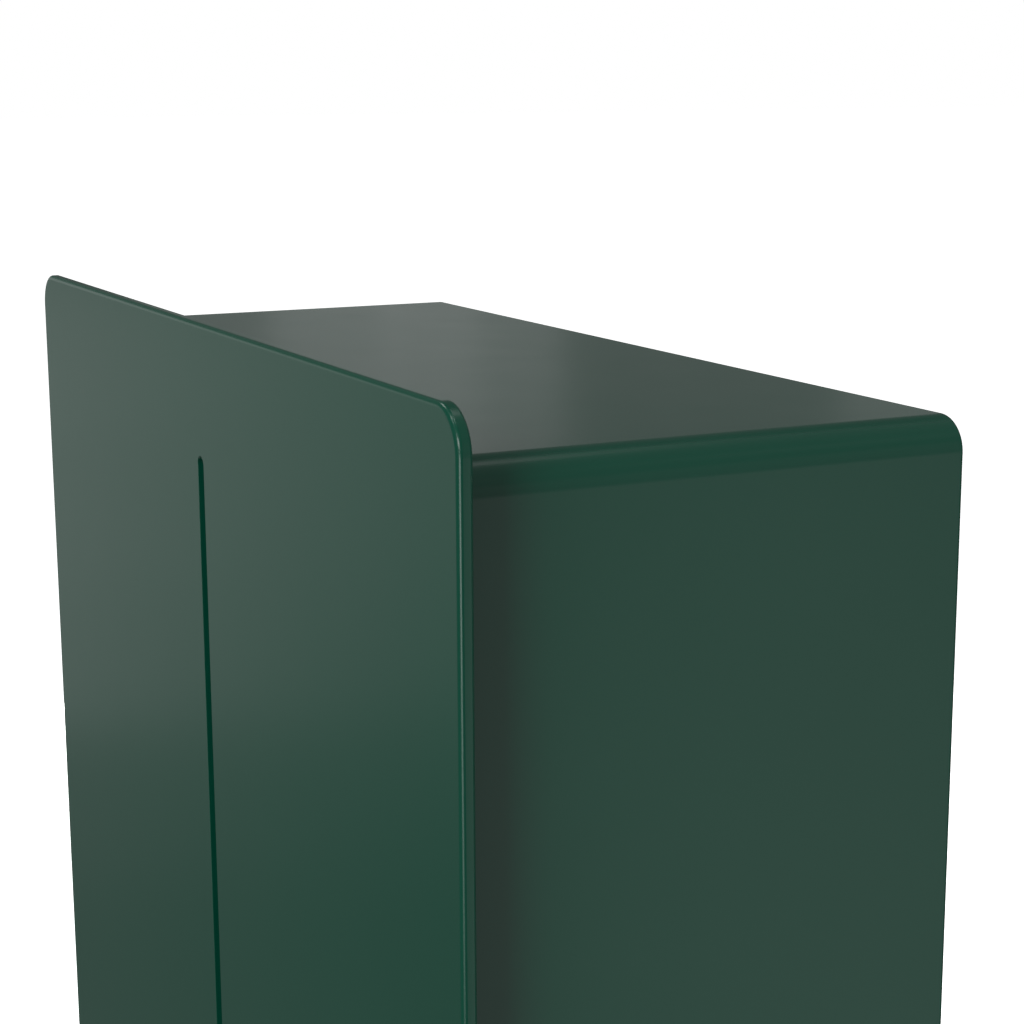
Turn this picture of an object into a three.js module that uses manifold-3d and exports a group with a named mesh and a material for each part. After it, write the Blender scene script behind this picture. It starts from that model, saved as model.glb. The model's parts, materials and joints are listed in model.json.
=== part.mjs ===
// A wall mounted mailbox: a wrapped steel casing with a thick front plate as its door.
// Millimetres. X is to the right seen from the front, Y runs from the front into the wall, Z is up.
// The origin is the middle of the back panel's rear face, which rests on the wall.
import * as THREE from "three";
import { mergeVertices } from "three/addons/utils/BufferGeometryUtils.js";
import Module from "manifold-3d";

// Casing
const BODY_WIDTH = 346;
const BODY_HEIGHT = 450;
const BODY_DEPTH = 150;
const BODY_RADIUS = 9.5;
const REAR_EDGE_RADIUS = 1.25;
const SHEET = 1.5;
const WELD_GAP = 0.125;
const DRAIN_RADIUS = 2.5;
const DRAIN_X = 140;
const DRAIN_Y = [-120, -30];

// Back panel
const WALL_HOLE_RADIUS = 3.5;
const WALL_HOLES = { x: 125, z: 175 };
const GROMMET_RADIUS = 9;
const GROMMET_THICKNESS = 3;

// Door frame
const FRAME_BAR = 12;
const FRAME_LIP = 12;
const RETAINER_HEIGHT = 60;
const RETAINER_HEM = 8;
const BUFFER_RADIUS = 4;
const BUFFER_THICKNESS = 0.75;
const BUFFER_HEIGHT = 150;

// Door plate
const SIDE_OVERHANG = 18;
const END_OVERHANG = 16;
const PLATE_THICKNESS = 4;
const PLATE_RADIUS = 12;
const PLATE_FRONT_FILLET = 1.3;
const PLATE_BACK_FILLET = 0.8;
const DOOR_GAP = 1;
const SLIT_WIDTH = 5.6;
const SLIT_END_MARGIN = 41;
const SLIT_FILLET = 0.15;
const DOOR_OPENING_CLEARANCE = 3;

// Sight strip
const STRIP_WIDTH = 22;
const STRIP_THICKNESS = 2;
const RETAINER_FRAME_WIDTH = 36;
const RETAINER_FRAME_THICKNESS = 3.5;
const RETAINER_WINDOW_WIDTH = 12;
const STRIP_CLEARANCE = 0.25;
const STUD_RADIUS = 1.5;
const STUD_LENGTH = 7;
const STUD_X = 14.5;
const STUD_ROWS = [-185, 0, 185];
const STRIP_NUT = { acrossFlats: 5.5, height: 2.5, boreRadius: 1.75 };

// Door hinges
const HINGE_AXIS_OUT = 5;
const HINGE_AXIS_BACK = 5;
const HINGE_HEIGHT = 50;
const HINGE_LEAF = 2;
const HINGE_DOOR_LEAF = 1.5;
const DOOR_LEAF_EDGE_GAP = 1;
const DOOR_LEAF_SIDE_GAP = 1.5;
const DOOR_LEAF_WEB = 4;
const KNUCKLE_RADIUS = 4;
const HINGE_PIN_RADIUS = 2;
const HINGE_PIN_SHORT = 1;
const HINGE_BORE_RADIUS = 2.25;
const HINGE_WASHER = 2;
const HINGE_CENTRES = { upper: 165, lower: -165 };
const BODY_LEAF_DEPTH = 29;
const RIVET = { shankRadius: 1.75, boreRadius: 2, headRadius: 4, head: 1, tailRadius: 2.75, tail: 2.5 };
const RIVET_SPREAD = 15;

// Cam lock
const LOCK_X = 140;
const LOCK_HEAD = { radius: 10.5, thickness: 2 };
const LOCK_BODY_RADIUS = 8;
const LOCK_HOLE_RADIUS = 8.25;
const LOCK_PLUG_RADIUS = 5.5;
const LOCK_BORE_RADIUS = 5.75;
const LOCK_NUT = { acrossFlats: 22, height: 4 };
const CAM_THICKNESS = 2;
const CAM_WIDTH = 16;
const CAM_REACH = 28;
const CAM_BEHIND_LIP = 1.5;
const CAM_SQUARE = 6;
const LOCK_PLAY = 0.25;
const CAM_SCREW = { headRadius: 4.5, head: 2.5, shankRadius: 2, shank: 6, boreRadius: 2.25, slot: 1 };
const KEYWAY = { width: 1.25, height: 7, depth: 12 };

// Keyhole cover
const COVER_PIVOT_ABOVE_LOCK = 17;
const COVER_THICKNESS = 1.25;
const COVER_RADIUS = 11;
const COVER_NECK_RADIUS = 5;
const COVER_BORE_RADIUS = 2;
const COVER_STANDOFF = 2.75;
const COVER_RIVET = {
  shoulderRadius: 3,
  neckRadius: 1.75,
  headRadius: 3.5,
  head: 1,
  shankRadius: 1.5,
  tail: 1.5,
};
const COVER_PLAY = 0.25;

// Mail aperture and flap
const APERTURE = { width: 232, front: 3.5, rear: 31.5, radius: 2 };
const FLAP_SHEET = 1.5;
const FLAP_LIFT = 0.25;
const FLAP_SIDE_OVERLAP = 2;
const FLAP_FRONT_OVERLAP = 1.75;
const FLAP_REAR_GAP = 0.5;
const FLAP_BEND_RADIUS = 3;
const FLAP_WING_NOTCH = 3;
const FLAP_EAR = { inset: 2.25, halfDepth: 3 };
const FLAP_PIN = { radius: 1.25, boreRadius: 1.375, inward: 2 };
const BRACKET = { gap: 0.25, depth: 11, behindPivot: 1.5, drop: 6, flange: 12 };
const GRIP = { width: 80, height: 9.25, fold: 8 };

// How far a cutter runs past what it cuts, and a joined piece runs into its neighbour
const BEYOND = 1;

// Faceting
const CORNER_STEPS = 6;
const FILLET_STEPS = 3;
const ROUND_SIDES = 24;
const SMALL_SIDES = 12;
const HEX_SIDES = 6;
const SLIT_END_ROUNDNESS = 0.01;
const QUARTER = Math.PI / 2;

// Planes and edges worked out from the dimensions above
const HALF_WIDTH = BODY_WIDTH / 2;
const HALF_HEIGHT = BODY_HEIGHT / 2;
const BODY_FRONT = -BODY_DEPTH;
const PLATE_BACK = BODY_FRONT - DOOR_GAP;
const PLATE_FRONT = PLATE_BACK - PLATE_THICKNESS;
const INNER_HALF_WIDTH = HALF_WIDTH - SHEET;
const INNER_HALF_HEIGHT = HALF_HEIGHT - SHEET;
const INNER_RADIUS = BODY_RADIUS - SHEET;
const OPENING_HALF_WIDTH = INNER_HALF_WIDTH - WELD_GAP - FRAME_BAR;
const OPENING_HALF_HEIGHT = INNER_HALF_HEIGHT - WELD_GAP - FRAME_BAR;
const LIP_REAR = BODY_FRONT + FRAME_LIP;
const HINGE_X = -HALF_WIDTH - HINGE_AXIS_OUT;
const HINGE_Y = BODY_FRONT + HINGE_AXIS_BACK;

const wasm = await Module();
wasm.setup();

// Materials
const greenPaint = { color: 0x17473a, roughness: 0.42, metalness: 0.0 };
const MATERIALS = {
  casing: new THREE.MeshStandardMaterial(greenPaint),
  door: new THREE.MeshStandardMaterial(greenPaint),
  inner: new THREE.MeshStandardMaterial({ color: 0x143c31, roughness: 0.5, metalness: 0.0 }),
  steel: new THREE.MeshStandardMaterial({ color: 0xb9bcc0, roughness: 0.35, metalness: 1.0 }),
  chrome: new THREE.MeshStandardMaterial({ color: 0xd8dadd, roughness: 0.15, metalness: 1.0 }),
  rubber: new THREE.MeshStandardMaterial({ color: 0x1c1d1e, roughness: 0.85, metalness: 0.0 }),
  nylon: new THREE.MeshStandardMaterial({ color: 0xd9d6cc, roughness: 0.6, metalness: 0.0 }),
  clear: new THREE.MeshStandardMaterial({
    color: 0xcfd8d4,
    roughness: 0.1,
    transparent: true,
    opacity: 0.4,
  }),
};

// A closed three.js geometry as a solid that can be joined and cut.
function solid(geometry) {
  const bare = geometry.clone();
  bare.deleteAttribute("normal");
  bare.deleteAttribute("uv");
  const merged = mergeVertices(bare);
  const mesh = new wasm.Mesh({
    numProp: 3,
    vertProperties: new Float32Array(merged.attributes.position.array),
    triVerts: new Uint32Array(merged.index.array),
  });
  return new wasm.Manifold(mesh);
}

function geometryOf(body) {
  const mesh = body.getMesh();
  const geometry = new THREE.BufferGeometry();
  geometry.setAttribute("position", new THREE.BufferAttribute(mesh.vertProperties, 3));
  geometry.setIndex(new THREE.BufferAttribute(mesh.triVerts, 1));
  geometry.computeVertexNormals();
  return geometry;
}

const join = (...bodies) => bodies.reduce((whole, body) => whole.add(body));
const cut = (body, ...cutters) => cutters.reduce((rest, cutter) => rest.subtract(cutter), body);
const past = ([start, end]) => [start - BEYOND, end + BEYOND];

function box([x0, x1], [y0, y1], [z0, z1]) {
  const geometry = new THREE.BoxGeometry(x1 - x0, y1 - y0, z1 - z0);
  return solid(geometry.translate((x0 + x1) / 2, (y0 + y1) / 2, (z0 + z1) / 2));
}

// A round bar along Y, X or Z: its radius, its two ends, and where its axis stands.
function barY(radius, [y0, y1], x = 0, z = 0, sides = ROUND_SIDES) {
  const geometry = new THREE.CylinderGeometry(radius, radius, y1 - y0, sides);
  return solid(geometry.translate(x, (y0 + y1) / 2, z));
}

function barX(radius, [x0, x1], y = 0, z = 0, sides = SMALL_SIDES) {
  const geometry = new THREE.CylinderGeometry(radius, radius, x1 - x0, sides).rotateZ(QUARTER);
  return solid(geometry.translate((x0 + x1) / 2, y, z));
}

function barZ(radius, [z0, z1], x = 0, y = 0, sides = ROUND_SIDES) {
  const geometry = new THREE.CylinderGeometry(radius, radius, z1 - z0, sides).rotateX(QUARTER);
  return solid(geometry.translate(x, y, (z0 + z1) / 2));
}

function hexNut({ acrossFlats, height, boreRadius }, yBack) {
  const corner = acrossFlats / Math.sqrt(3);
  const span = [yBack, yBack + height];
  return cut(barY(corner, span, 0, 0, HEX_SIDES), barY(boreRadius, past(span)));
}

// The points of a rounded rectangle in the XZ plane, anticlockwise seen from the front.
function roundedOutline(halfWidth, halfHeight, radius) {
  const points = [];
  const centres = [[1, -1], [1, 1], [-1, 1], [-1, -1]];
  centres.forEach(([sideX, sideZ], corner) => {
    for (let step = 0; step <= CORNER_STEPS; step++) {
      const angle = (corner - 1 + step / CORNER_STEPS) * QUARTER;
      const x = sideX * (halfWidth - radius) + radius * Math.cos(angle);
      const z = sideZ * (halfHeight - radius) + radius * Math.sin(angle);
      points.push([x, z]);
    }
  });
  return points;
}

// A solid through a row of convex outlines with the same number of points, from front to back.
function loft(rings) {
  const count = rings[0].outline.length;
  const positions = rings.flatMap(({ outline, y }) => outline.flatMap(([x, z]) => [x, y, z]));
  const index = [];
  for (let point = 1; point < count - 1; point++) {
    const last = (rings.length - 1) * count;
    index.push(0, point, point + 1);
    index.push(last, last + point + 1, last + point);
  }
  for (let ring = 0; ring < rings.length - 1; ring++) {
    for (let point = 0; point < count; point++) {
      const next = (point + 1) % count;
      const front = ring * count;
      const back = front + count;
      index.push(front + point, back + point, front + next);
      index.push(front + next, back + point, back + next);
    }
  }
  const geometry = new THREE.BufferGeometry();
  geometry.setAttribute("position", new THREE.Float32BufferAttribute(positions, 3));
  geometry.setIndex(index);
  return solid(geometry);
}

// A rounded slab between two Y planes. A positive fillet rounds its edge off; a negative one flares it.
function slab({ halfWidth, halfHeight, radius, front, back, frontFillet = 0, backFillet = 0 }) {
  const ring = (inset, y) => ({
    outline: roundedOutline(halfWidth - inset, halfHeight - inset, radius - inset),
    y,
  });
  const rings = [];
  const frontSteps = frontFillet ? FILLET_STEPS : 0;
  const backSteps = backFillet ? FILLET_STEPS : 0;
  for (let step = 0; step <= frontSteps; step++) {
    const angle = frontSteps ? (step / frontSteps) * QUARTER : QUARTER;
    const depth = Math.abs(frontFillet) * (1 - Math.cos(angle));
    rings.push(ring(frontFillet * (1 - Math.sin(angle)), front + depth));
  }
  for (let step = 0; step <= backSteps; step++) {
    const angle = backSteps ? (step / backSteps) * QUARTER : 0;
    const depth = Math.abs(backFillet) * (1 - Math.sin(angle));
    rings.push(ring(backFillet * (1 - Math.cos(angle)), back - depth));
  }
  return loft(rings);
}

// Four mirrored places in the XZ plane.
function fourWays({ x, z }) {
  return [[x, z], [-x, z], [-x, -z], [x, -z]];
}

// Puts a named mesh into a group.
function place(group, name, body, material) {
  const mesh = new THREE.Mesh(geometryOf(body), material);
  mesh.name = name;
  group.add(mesh);
}

function groupAt(parent, x, y, z) {
  const group = new THREE.Group();
  group.position.set(x, y, z);
  parent.add(group);
  return group;
}

const mailbox = new THREE.Group();

// ---- Casing ----

const casing = groupAt(mailbox, 0, 0, 0);
const innerOutline = { halfWidth: INNER_HALF_WIDTH, halfHeight: INNER_HALF_HEIGHT, radius: INNER_RADIUS };
const letInOutline = {
  halfWidth: INNER_HALF_WIDTH - WELD_GAP,
  halfHeight: INNER_HALF_HEIGHT - WELD_GAP,
  radius: INNER_RADIUS - WELD_GAP,
};

// The slot in the casing's top that letters drop through.
function apertureCutter() {
  const centreY = PLATE_BACK + (APERTURE.front + APERTURE.rear) / 2;
  const halfDepth = (APERTURE.rear - APERTURE.front) / 2;
  const outline = roundedOutline(APERTURE.width / 2, halfDepth, APERTURE.radius);
  const shape = new THREE.Shape(outline.map(([x, z]) => new THREE.Vector2(x, z)));
  const [low, high] = past([INNER_HALF_HEIGHT, HALF_HEIGHT]);
  const geometry = new THREE.ExtrudeGeometry(shape, { depth: high - low, bevelEnabled: false });
  return solid(geometry.translate(0, centreY, low));
}

function rivetPlaces() {
  const rivetY = BODY_FRONT + (BODY_LEAF_DEPTH + KNUCKLE_RADIUS + HINGE_AXIS_BACK) / 2 + KNUCKLE_RADIUS;
  return Object.entries(HINGE_CENTRES).flatMap(([name, centre]) => [
    { name: `hinge_rivet_${name}_1`, y: rivetY, z: centre + RIVET_SPREAD },
    { name: `hinge_rivet_${name}_2`, y: rivetY, z: centre - RIVET_SPREAD },
  ]);
}

function casingShell() {
  const outside = slab({
    halfWidth: HALF_WIDTH,
    halfHeight: HALF_HEIGHT,
    radius: BODY_RADIUS,
    front: BODY_FRONT,
    back: 0,
    backFillet: REAR_EDGE_RADIUS,
  });
  const [front, back] = past([BODY_FRONT, 0]);
  const inside = slab({ ...innerOutline, front, back });
  const drains = DRAIN_Y.flatMap((y) =>
    [-DRAIN_X, DRAIN_X].map((x) =>
      barZ(DRAIN_RADIUS, past([-HALF_HEIGHT, -INNER_HALF_HEIGHT]), x, y, SMALL_SIDES)));
  const rivetHoles = rivetPlaces().map(({ y, z }) =>
    barX(RIVET.boreRadius, past([-HALF_WIDTH, -INNER_HALF_WIDTH]), y, z));
  return cut(outside, inside, apertureCutter(), ...drains, ...rivetHoles);
}

function backPanel() {
  const panel = slab({ ...letInOutline, front: -SHEET, back: 0 });
  const holes = fourWays(WALL_HOLES).map(([x, z]) => barY(WALL_HOLE_RADIUS, past([-SHEET, 0]), x, z));
  return cut(panel, ...holes);
}

function addGrommets() {
  const span = [-SHEET - GROMMET_THICKNESS, -SHEET];
  fourWays(WALL_HOLES).forEach(([x, z], index) => {
    const ring = barY(GROMMET_RADIUS, span);
    const hole = barY(WALL_HOLE_RADIUS, past(span));
    place(groupAt(casing, x, 0, z), `wall_grommet_${index + 1}`, cut(ring, hole), MATERIALS.rubber);
  });
}

// A flat ring flush with the casing's front, with folded lips at its sides and foot.
function doorFrame() {
  const front = BODY_FRONT;
  const ring = slab({ ...letInOutline, front, back: front + SHEET });
  const opening = box(
    [-OPENING_HALF_WIDTH, OPENING_HALF_WIDTH],
    past([front, front + SHEET]),
    [-OPENING_HALF_HEIGHT, OPENING_HALF_HEIGHT],
  );
  const lipSpan = [front, LIP_REAR];
  const tall = [-OPENING_HALF_HEIGHT - SHEET, OPENING_HALF_HEIGHT];
  const right = box([OPENING_HALF_WIDTH, OPENING_HALF_WIDTH + SHEET], lipSpan, tall);
  const left = box([-OPENING_HALF_WIDTH - SHEET, -OPENING_HALF_WIDTH], lipSpan, tall);
  const foot = box([-OPENING_HALF_WIDTH, OPENING_HALF_WIDTH], lipSpan, [tall[0], tall[0] + SHEET]);
  return join(cut(ring, opening), right, left, foot);
}

// A low sheet across the foot of the opening, its top edge folded over.
function mailRetainer() {
  const foot = -OPENING_HALF_HEIGHT;
  const top = foot + RETAINER_HEIGHT;
  const across = [-OPENING_HALF_WIDTH, OPENING_HALF_WIDTH];
  const sheet = box(across, [LIP_REAR - SHEET, LIP_REAR], [foot, top]);
  const hem = box(across, [LIP_REAR - SHEET, LIP_REAR + SHEET], [top - RETAINER_HEM, top]);
  return join(sheet, hem);
}

function addBuffers() {
  const x = OPENING_HALF_WIDTH + FRAME_BAR / 2;
  fourWays({ x, z: BUFFER_HEIGHT }).forEach(([bufferX, bufferZ], index) => {
    const dot = barY(BUFFER_RADIUS, [BODY_FRONT - BUFFER_THICKNESS, BODY_FRONT], 0, 0, SMALL_SIDES);
    place(groupAt(casing, bufferX, 0, bufferZ), `door_buffer_${index + 1}`, dot, MATERIALS.rubber);
  });
}

place(casing, "casing_shell", casingShell(), MATERIALS.casing);
place(casing, "back_panel", backPanel(), MATERIALS.inner);
place(casing, "door_frame", doorFrame(), MATERIALS.inner);
place(casing, "mail_retainer", mailRetainer(), MATERIALS.inner);
addGrommets();
addBuffers();

// ---- Door hinges: a knuckle of the casing's leaf below, a knuckle of the door's leaf above ----

function bodyLeaf() {
  const half = HINGE_HEIGHT / 2;
  const wallX = HINGE_AXIS_OUT;
  const kneeY = KNUCKLE_RADIUS;
  const leaf = box([wallX - HINGE_LEAF, wallX], [kneeY, kneeY + BODY_LEAF_DEPTH], [-half, half]);
  const root = box([wallX - HINGE_LEAF, wallX], [0, kneeY], [-half, -HINGE_WASHER / 2]);
  const knuckle = barZ(KNUCKLE_RADIUS, [-half, -HINGE_WASHER / 2]);
  const bore = barZ(HINGE_BORE_RADIUS, [-half - BEYOND, 0]);
  const middleY = HINGE_AXIS_BACK;
  const holes = [RIVET_SPREAD, -RIVET_SPREAD].map((z) =>
    barX(RIVET.boreRadius, [0, wallX + BEYOND], rivetPlaces()[0].y - BODY_FRONT - middleY, z));
  return cut(join(leaf, root, knuckle), bore, ...holes);
}

function doorLeaf() {
  const half = HINGE_HEIGHT / 2;
  const face = PLATE_BACK - HINGE_Y;
  const outer = -HALF_WIDTH - SIDE_OVERHANG + PLATE_BACK_FILLET - HINGE_X;
  const across = [outer + DOOR_LEAF_EDGE_GAP, HINGE_AXIS_OUT - DOOR_LEAF_SIDE_GAP];
  const leaf = box(across, [face, face + HINGE_DOOR_LEAF], [-half, half]);
  const webSpan = [-DOOR_LEAF_WEB / 2, DOOR_LEAF_WEB / 2];
  const web = box(webSpan, [face, -HINGE_BORE_RADIUS], [HINGE_WASHER / 2, half]);
  const knuckle = barZ(KNUCKLE_RADIUS, [HINGE_WASHER / 2, half]);
  const bore = barZ(HINGE_BORE_RADIUS, [0, half + BEYOND]);
  return cut(join(leaf, web, knuckle), bore);
}

function addRivets() {
  const outer = -HALF_WIDTH - HINGE_LEAF;
  for (const { name, y, z } of rivetPlaces()) {
    const head = barX(RIVET.headRadius, [outer - RIVET.head, outer]);
    const shank = barX(RIVET.shankRadius, [outer - RIVET.head, -INNER_HALF_WIDTH + RIVET.tail]);
    const tail = barX(RIVET.tailRadius, [-INNER_HALF_WIDTH, -INNER_HALF_WIDTH + RIVET.tail]);
    place(groupAt(casing, 0, y, z), name, join(head, shank, tail), MATERIALS.casing);
  }
}

const door = groupAt(mailbox, 0, 0, 0);
const pinHalf = HINGE_HEIGHT / 2 - HINGE_PIN_SHORT;
for (const [name, centre] of Object.entries(HINGE_CENTRES)) {
  const fixed = groupAt(casing, HINGE_X, HINGE_Y, centre);
  const moving = groupAt(door, HINGE_X, HINGE_Y, centre);
  const washerSpan = [-HINGE_WASHER / 2, HINGE_WASHER / 2];
  const washer = cut(barZ(KNUCKLE_RADIUS, washerSpan), barZ(HINGE_BORE_RADIUS, past(washerSpan)));
  place(fixed, `hinge_body_leaf_${name}`, bodyLeaf(), MATERIALS.casing);
  place(fixed, `hinge_pin_${name}`, barZ(HINGE_PIN_RADIUS, [-pinHalf, pinHalf]), MATERIALS.steel);
  place(fixed, `hinge_washer_${name}`, washer, MATERIALS.nylon);
  place(moving, `hinge_door_leaf_${name}`, doorLeaf(), MATERIALS.door);
}
addRivets();

// ---- Door ----

function slitCutter() {
  const outline = {
    halfWidth: SLIT_WIDTH / 2,
    halfHeight: HALF_HEIGHT + END_OVERHANG - SLIT_END_MARGIN,
    radius: SLIT_WIDTH / 2 - SLIT_END_ROUNDNESS,
  };
  const flared = {
    halfWidth: outline.halfWidth + SLIT_FILLET,
    halfHeight: outline.halfHeight + SLIT_FILLET,
    radius: outline.radius + SLIT_FILLET,
  };
  const through = slab({
    ...outline,
    front: PLATE_FRONT,
    back: PLATE_BACK,
    frontFillet: -SLIT_FILLET,
    backFillet: -SLIT_FILLET,
  });
  const before = slab({ ...flared, front: PLATE_FRONT - BEYOND, back: PLATE_FRONT });
  const behind = slab({ ...flared, front: PLATE_BACK, back: PLATE_BACK + BEYOND });
  return join(through, before, behind);
}

function doorPlate() {
  const plate = slab({
    halfWidth: HALF_WIDTH + SIDE_OVERHANG,
    halfHeight: HALF_HEIGHT + END_OVERHANG,
    radius: PLATE_RADIUS,
    front: PLATE_FRONT,
    back: PLATE_BACK,
    frontFillet: PLATE_FRONT_FILLET,
    backFillet: PLATE_BACK_FILLET,
  });
  const through = past([PLATE_FRONT, PLATE_BACK]);
  const lockHole = barY(LOCK_HOLE_RADIUS, through, LOCK_X);
  const rivetBore = COVER_RIVET.shankRadius + COVER_PLAY;
  const rivetHole = barY(rivetBore, through, LOCK_X, COVER_PIVOT_ABOVE_LOCK, SMALL_SIDES);
  const studSpan = [PLATE_BACK - BEYOND, PLATE_BACK + STUD_LENGTH];
  const studs = STUD_ROWS.flatMap((z) =>
    [-STUD_X, STUD_X].map((x) => barY(STUD_RADIUS, studSpan, x, z, SMALL_SIDES)));
  return join(cut(plate, slitCutter(), lockHole, rivetHole), ...studs);
}

const retainerEdge = (RETAINER_FRAME_WIDTH - STRIP_WIDTH) / 2;
const stripHalfHeight = OPENING_HALF_HEIGHT - DOOR_OPENING_CLEARANCE - retainerEdge;

function sightStrip() {
  const span = [PLATE_BACK, PLATE_BACK + STRIP_THICKNESS];
  return box([-STRIP_WIDTH / 2, STRIP_WIDTH / 2], span, [-stripHalfHeight, stripHalfHeight]);
}

// A long moulded frame that holds the strip's edges against the plate.
function stripRetainer() {
  const back = PLATE_BACK + RETAINER_FRAME_THICKNESS;
  const pocketX = STRIP_WIDTH / 2 + STRIP_CLEARANCE;
  const pocketZ = stripHalfHeight + STRIP_CLEARANCE;
  const windowZ = stripHalfHeight - (STRIP_WIDTH - RETAINER_WINDOW_WIDTH) / 2;
  const whole = box(
    [-RETAINER_FRAME_WIDTH / 2, RETAINER_FRAME_WIDTH / 2],
    [PLATE_BACK, back],
    [-stripHalfHeight - retainerEdge, stripHalfHeight + retainerEdge],
  );
  const pocketSpan = [PLATE_BACK - BEYOND, PLATE_BACK + STRIP_THICKNESS + STRIP_CLEARANCE];
  const pocket = box([-pocketX, pocketX], pocketSpan, [-pocketZ, pocketZ]);
  const gap = box(
    [-RETAINER_WINDOW_WIDTH / 2, RETAINER_WINDOW_WIDTH / 2],
    past([PLATE_BACK, back]),
    [-windowZ, windowZ],
  );
  const holes = STUD_ROWS.flatMap((z) =>
    [-STUD_X, STUD_X].map((x) => barY(STRIP_NUT.boreRadius, past([PLATE_BACK, back]), x, z, SMALL_SIDES)));
  return cut(whole, pocket, gap, ...holes);
}

function addStripNuts() {
  const seat = PLATE_BACK + RETAINER_FRAME_THICKNESS;
  let count = 0;
  for (const z of STUD_ROWS) {
    for (const x of [-STUD_X, STUD_X]) {
      count += 1;
      place(groupAt(door, x, 0, z), `strip_nut_${count}`, hexNut(STRIP_NUT, seat), MATERIALS.steel);
    }
  }
}

place(door, "door_plate", doorPlate(), MATERIALS.door);
place(door, "sight_strip", sightStrip(), MATERIALS.clear);
place(door, "strip_retainer", stripRetainer(), MATERIALS.inner);
addStripNuts();

// ---- Cam lock, with its middle at x = LOCK_X, z = 0 ----

const camFront = LIP_REAR + CAM_BEHIND_LIP;
const camBack = camFront + CAM_THICKNESS;
const housingBack = camFront - 2 * LOCK_PLAY;
const plugFront = PLATE_FRONT - LOCK_HEAD.thickness - LOCK_PLAY;

function lockHousing() {
  const head = barY(LOCK_HEAD.radius, [PLATE_FRONT - LOCK_HEAD.thickness, PLATE_FRONT]);
  const barrel = barY(LOCK_BODY_RADIUS, [PLATE_FRONT - BEYOND, housingBack]);
  const bore = barY(LOCK_BORE_RADIUS, past([PLATE_FRONT - LOCK_HEAD.thickness, housingBack]));
  return cut(join(head, barrel), bore);
}

function lockPlug() {
  const half = CAM_SQUARE / 2;
  const barrel = barY(LOCK_PLUG_RADIUS, [plugFront, camFront - LOCK_PLAY]);
  const square = box([-half, half], [camFront - BEYOND, camBack - LOCK_PLAY], [-half, half]);
  const keyway = box(
    [-KEYWAY.width / 2, KEYWAY.width / 2],
    [plugFront - BEYOND, plugFront + KEYWAY.depth],
    [-KEYWAY.height / 2, KEYWAY.height / 2],
  );
  const boreSpan = past([camBack - CAM_SCREW.shank, camBack]);
  const bore = barY(CAM_SCREW.boreRadius, boreSpan, 0, 0, SMALL_SIDES);
  return cut(join(barrel, square), keyway, bore);
}

// A flat arm that hangs down when the door is free and turns behind the frame's lip to lock it.
function lockCam() {
  const hole = CAM_SQUARE / 2 + LOCK_PLAY;
  const span = [camFront, camBack];
  const hub = barY(CAM_WIDTH / 2, span);
  const arm = box([-CAM_WIDTH / 2, CAM_WIDTH / 2], span, [-CAM_REACH, 0]);
  return cut(join(hub, arm), box([-hole, hole], past(span), [-hole, hole]));
}

function camScrew() {
  const { headRadius, head, shankRadius, shank, slot } = CAM_SCREW;
  const headTop = camBack + head;
  const cap = barY(headRadius, [camBack, headTop]);
  const stem = barY(shankRadius, [camBack - shank, camBack + BEYOND], 0, 0, SMALL_SIDES);
  const groove = box([-headRadius, headRadius], [headTop - slot, headTop + BEYOND], [-slot / 2, slot / 2]);
  return cut(join(cap, stem), groove);
}

const lock = groupAt(door, LOCK_X, 0, 0);
place(lock, "lock_housing", lockHousing(), MATERIALS.chrome);
place(lock, "lock_nut", hexNut({ ...LOCK_NUT, boreRadius: LOCK_HOLE_RADIUS }, PLATE_BACK), MATERIALS.steel);
place(lock, "lock_plug", lockPlug(), MATERIALS.chrome);
place(lock, "lock_cam", lockCam(), MATERIALS.steel);
place(lock, "cam_screw", camScrew(), MATERIALS.steel);

// ---- Keyhole cover: hangs in front of the lock from a shouldered rivet ----

const coverBack = PLATE_FRONT - COVER_STANDOFF;
const coverFront = coverBack - COVER_THICKNESS;

function keyholeCover() {
  const span = [coverFront, coverBack];
  const disc = barY(COVER_RADIUS, span, 0, -COVER_PIVOT_ABOVE_LOCK);
  const neck = barY(COVER_NECK_RADIUS, span);
  const bridge = box([-COVER_NECK_RADIUS, COVER_NECK_RADIUS], span, [-COVER_PIVOT_ABOVE_LOCK, 0]);
  return cut(join(disc, neck, bridge), barY(COVER_BORE_RADIUS, past(span)));
}

function coverRivet() {
  const headBack = coverFront - COVER_PLAY;
  const headFront = headBack - COVER_RIVET.head;
  const tailBack = PLATE_BACK + COVER_RIVET.tail;
  const shoulder = barY(COVER_RIVET.shoulderRadius, [coverBack + COVER_PLAY, PLATE_FRONT]);
  const neck = barY(COVER_RIVET.neckRadius, [headFront, PLATE_FRONT], 0, 0, SMALL_SIDES);
  const head = barY(COVER_RIVET.headRadius, [headFront, headBack]);
  const shank = barY(COVER_RIVET.shankRadius, [PLATE_FRONT - BEYOND, tailBack], 0, 0, SMALL_SIDES);
  const tail = barY(COVER_RIVET.shoulderRadius, [PLATE_BACK, tailBack], 0, 0, SMALL_SIDES);
  return join(shoulder, neck, head, shank, tail);
}

const cover = groupAt(lock, 0, 0, COVER_PIVOT_ABOVE_LOCK);
place(cover, "keyhole_cover", keyholeCover(), MATERIALS.chrome);
place(cover, "cover_rivet", coverRivet(), MATERIALS.steel);

// ---- Mail flap, in a group at its pivot line ----

const flapPivotY = PLATE_BACK + APERTURE.rear - FLAP_REAR_GAP - FLAP_BEND_RADIUS;
const flapPivotZ = HALF_HEIGHT + FLAP_LIFT + FLAP_SHEET - FLAP_BEND_RADIUS;
const earOuter = APERTURE.width / 2 - FLAP_EAR.inset;
const earInner = earOuter - FLAP_SHEET;
const bendRoom = 2 * FLAP_BEND_RADIUS;

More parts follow.
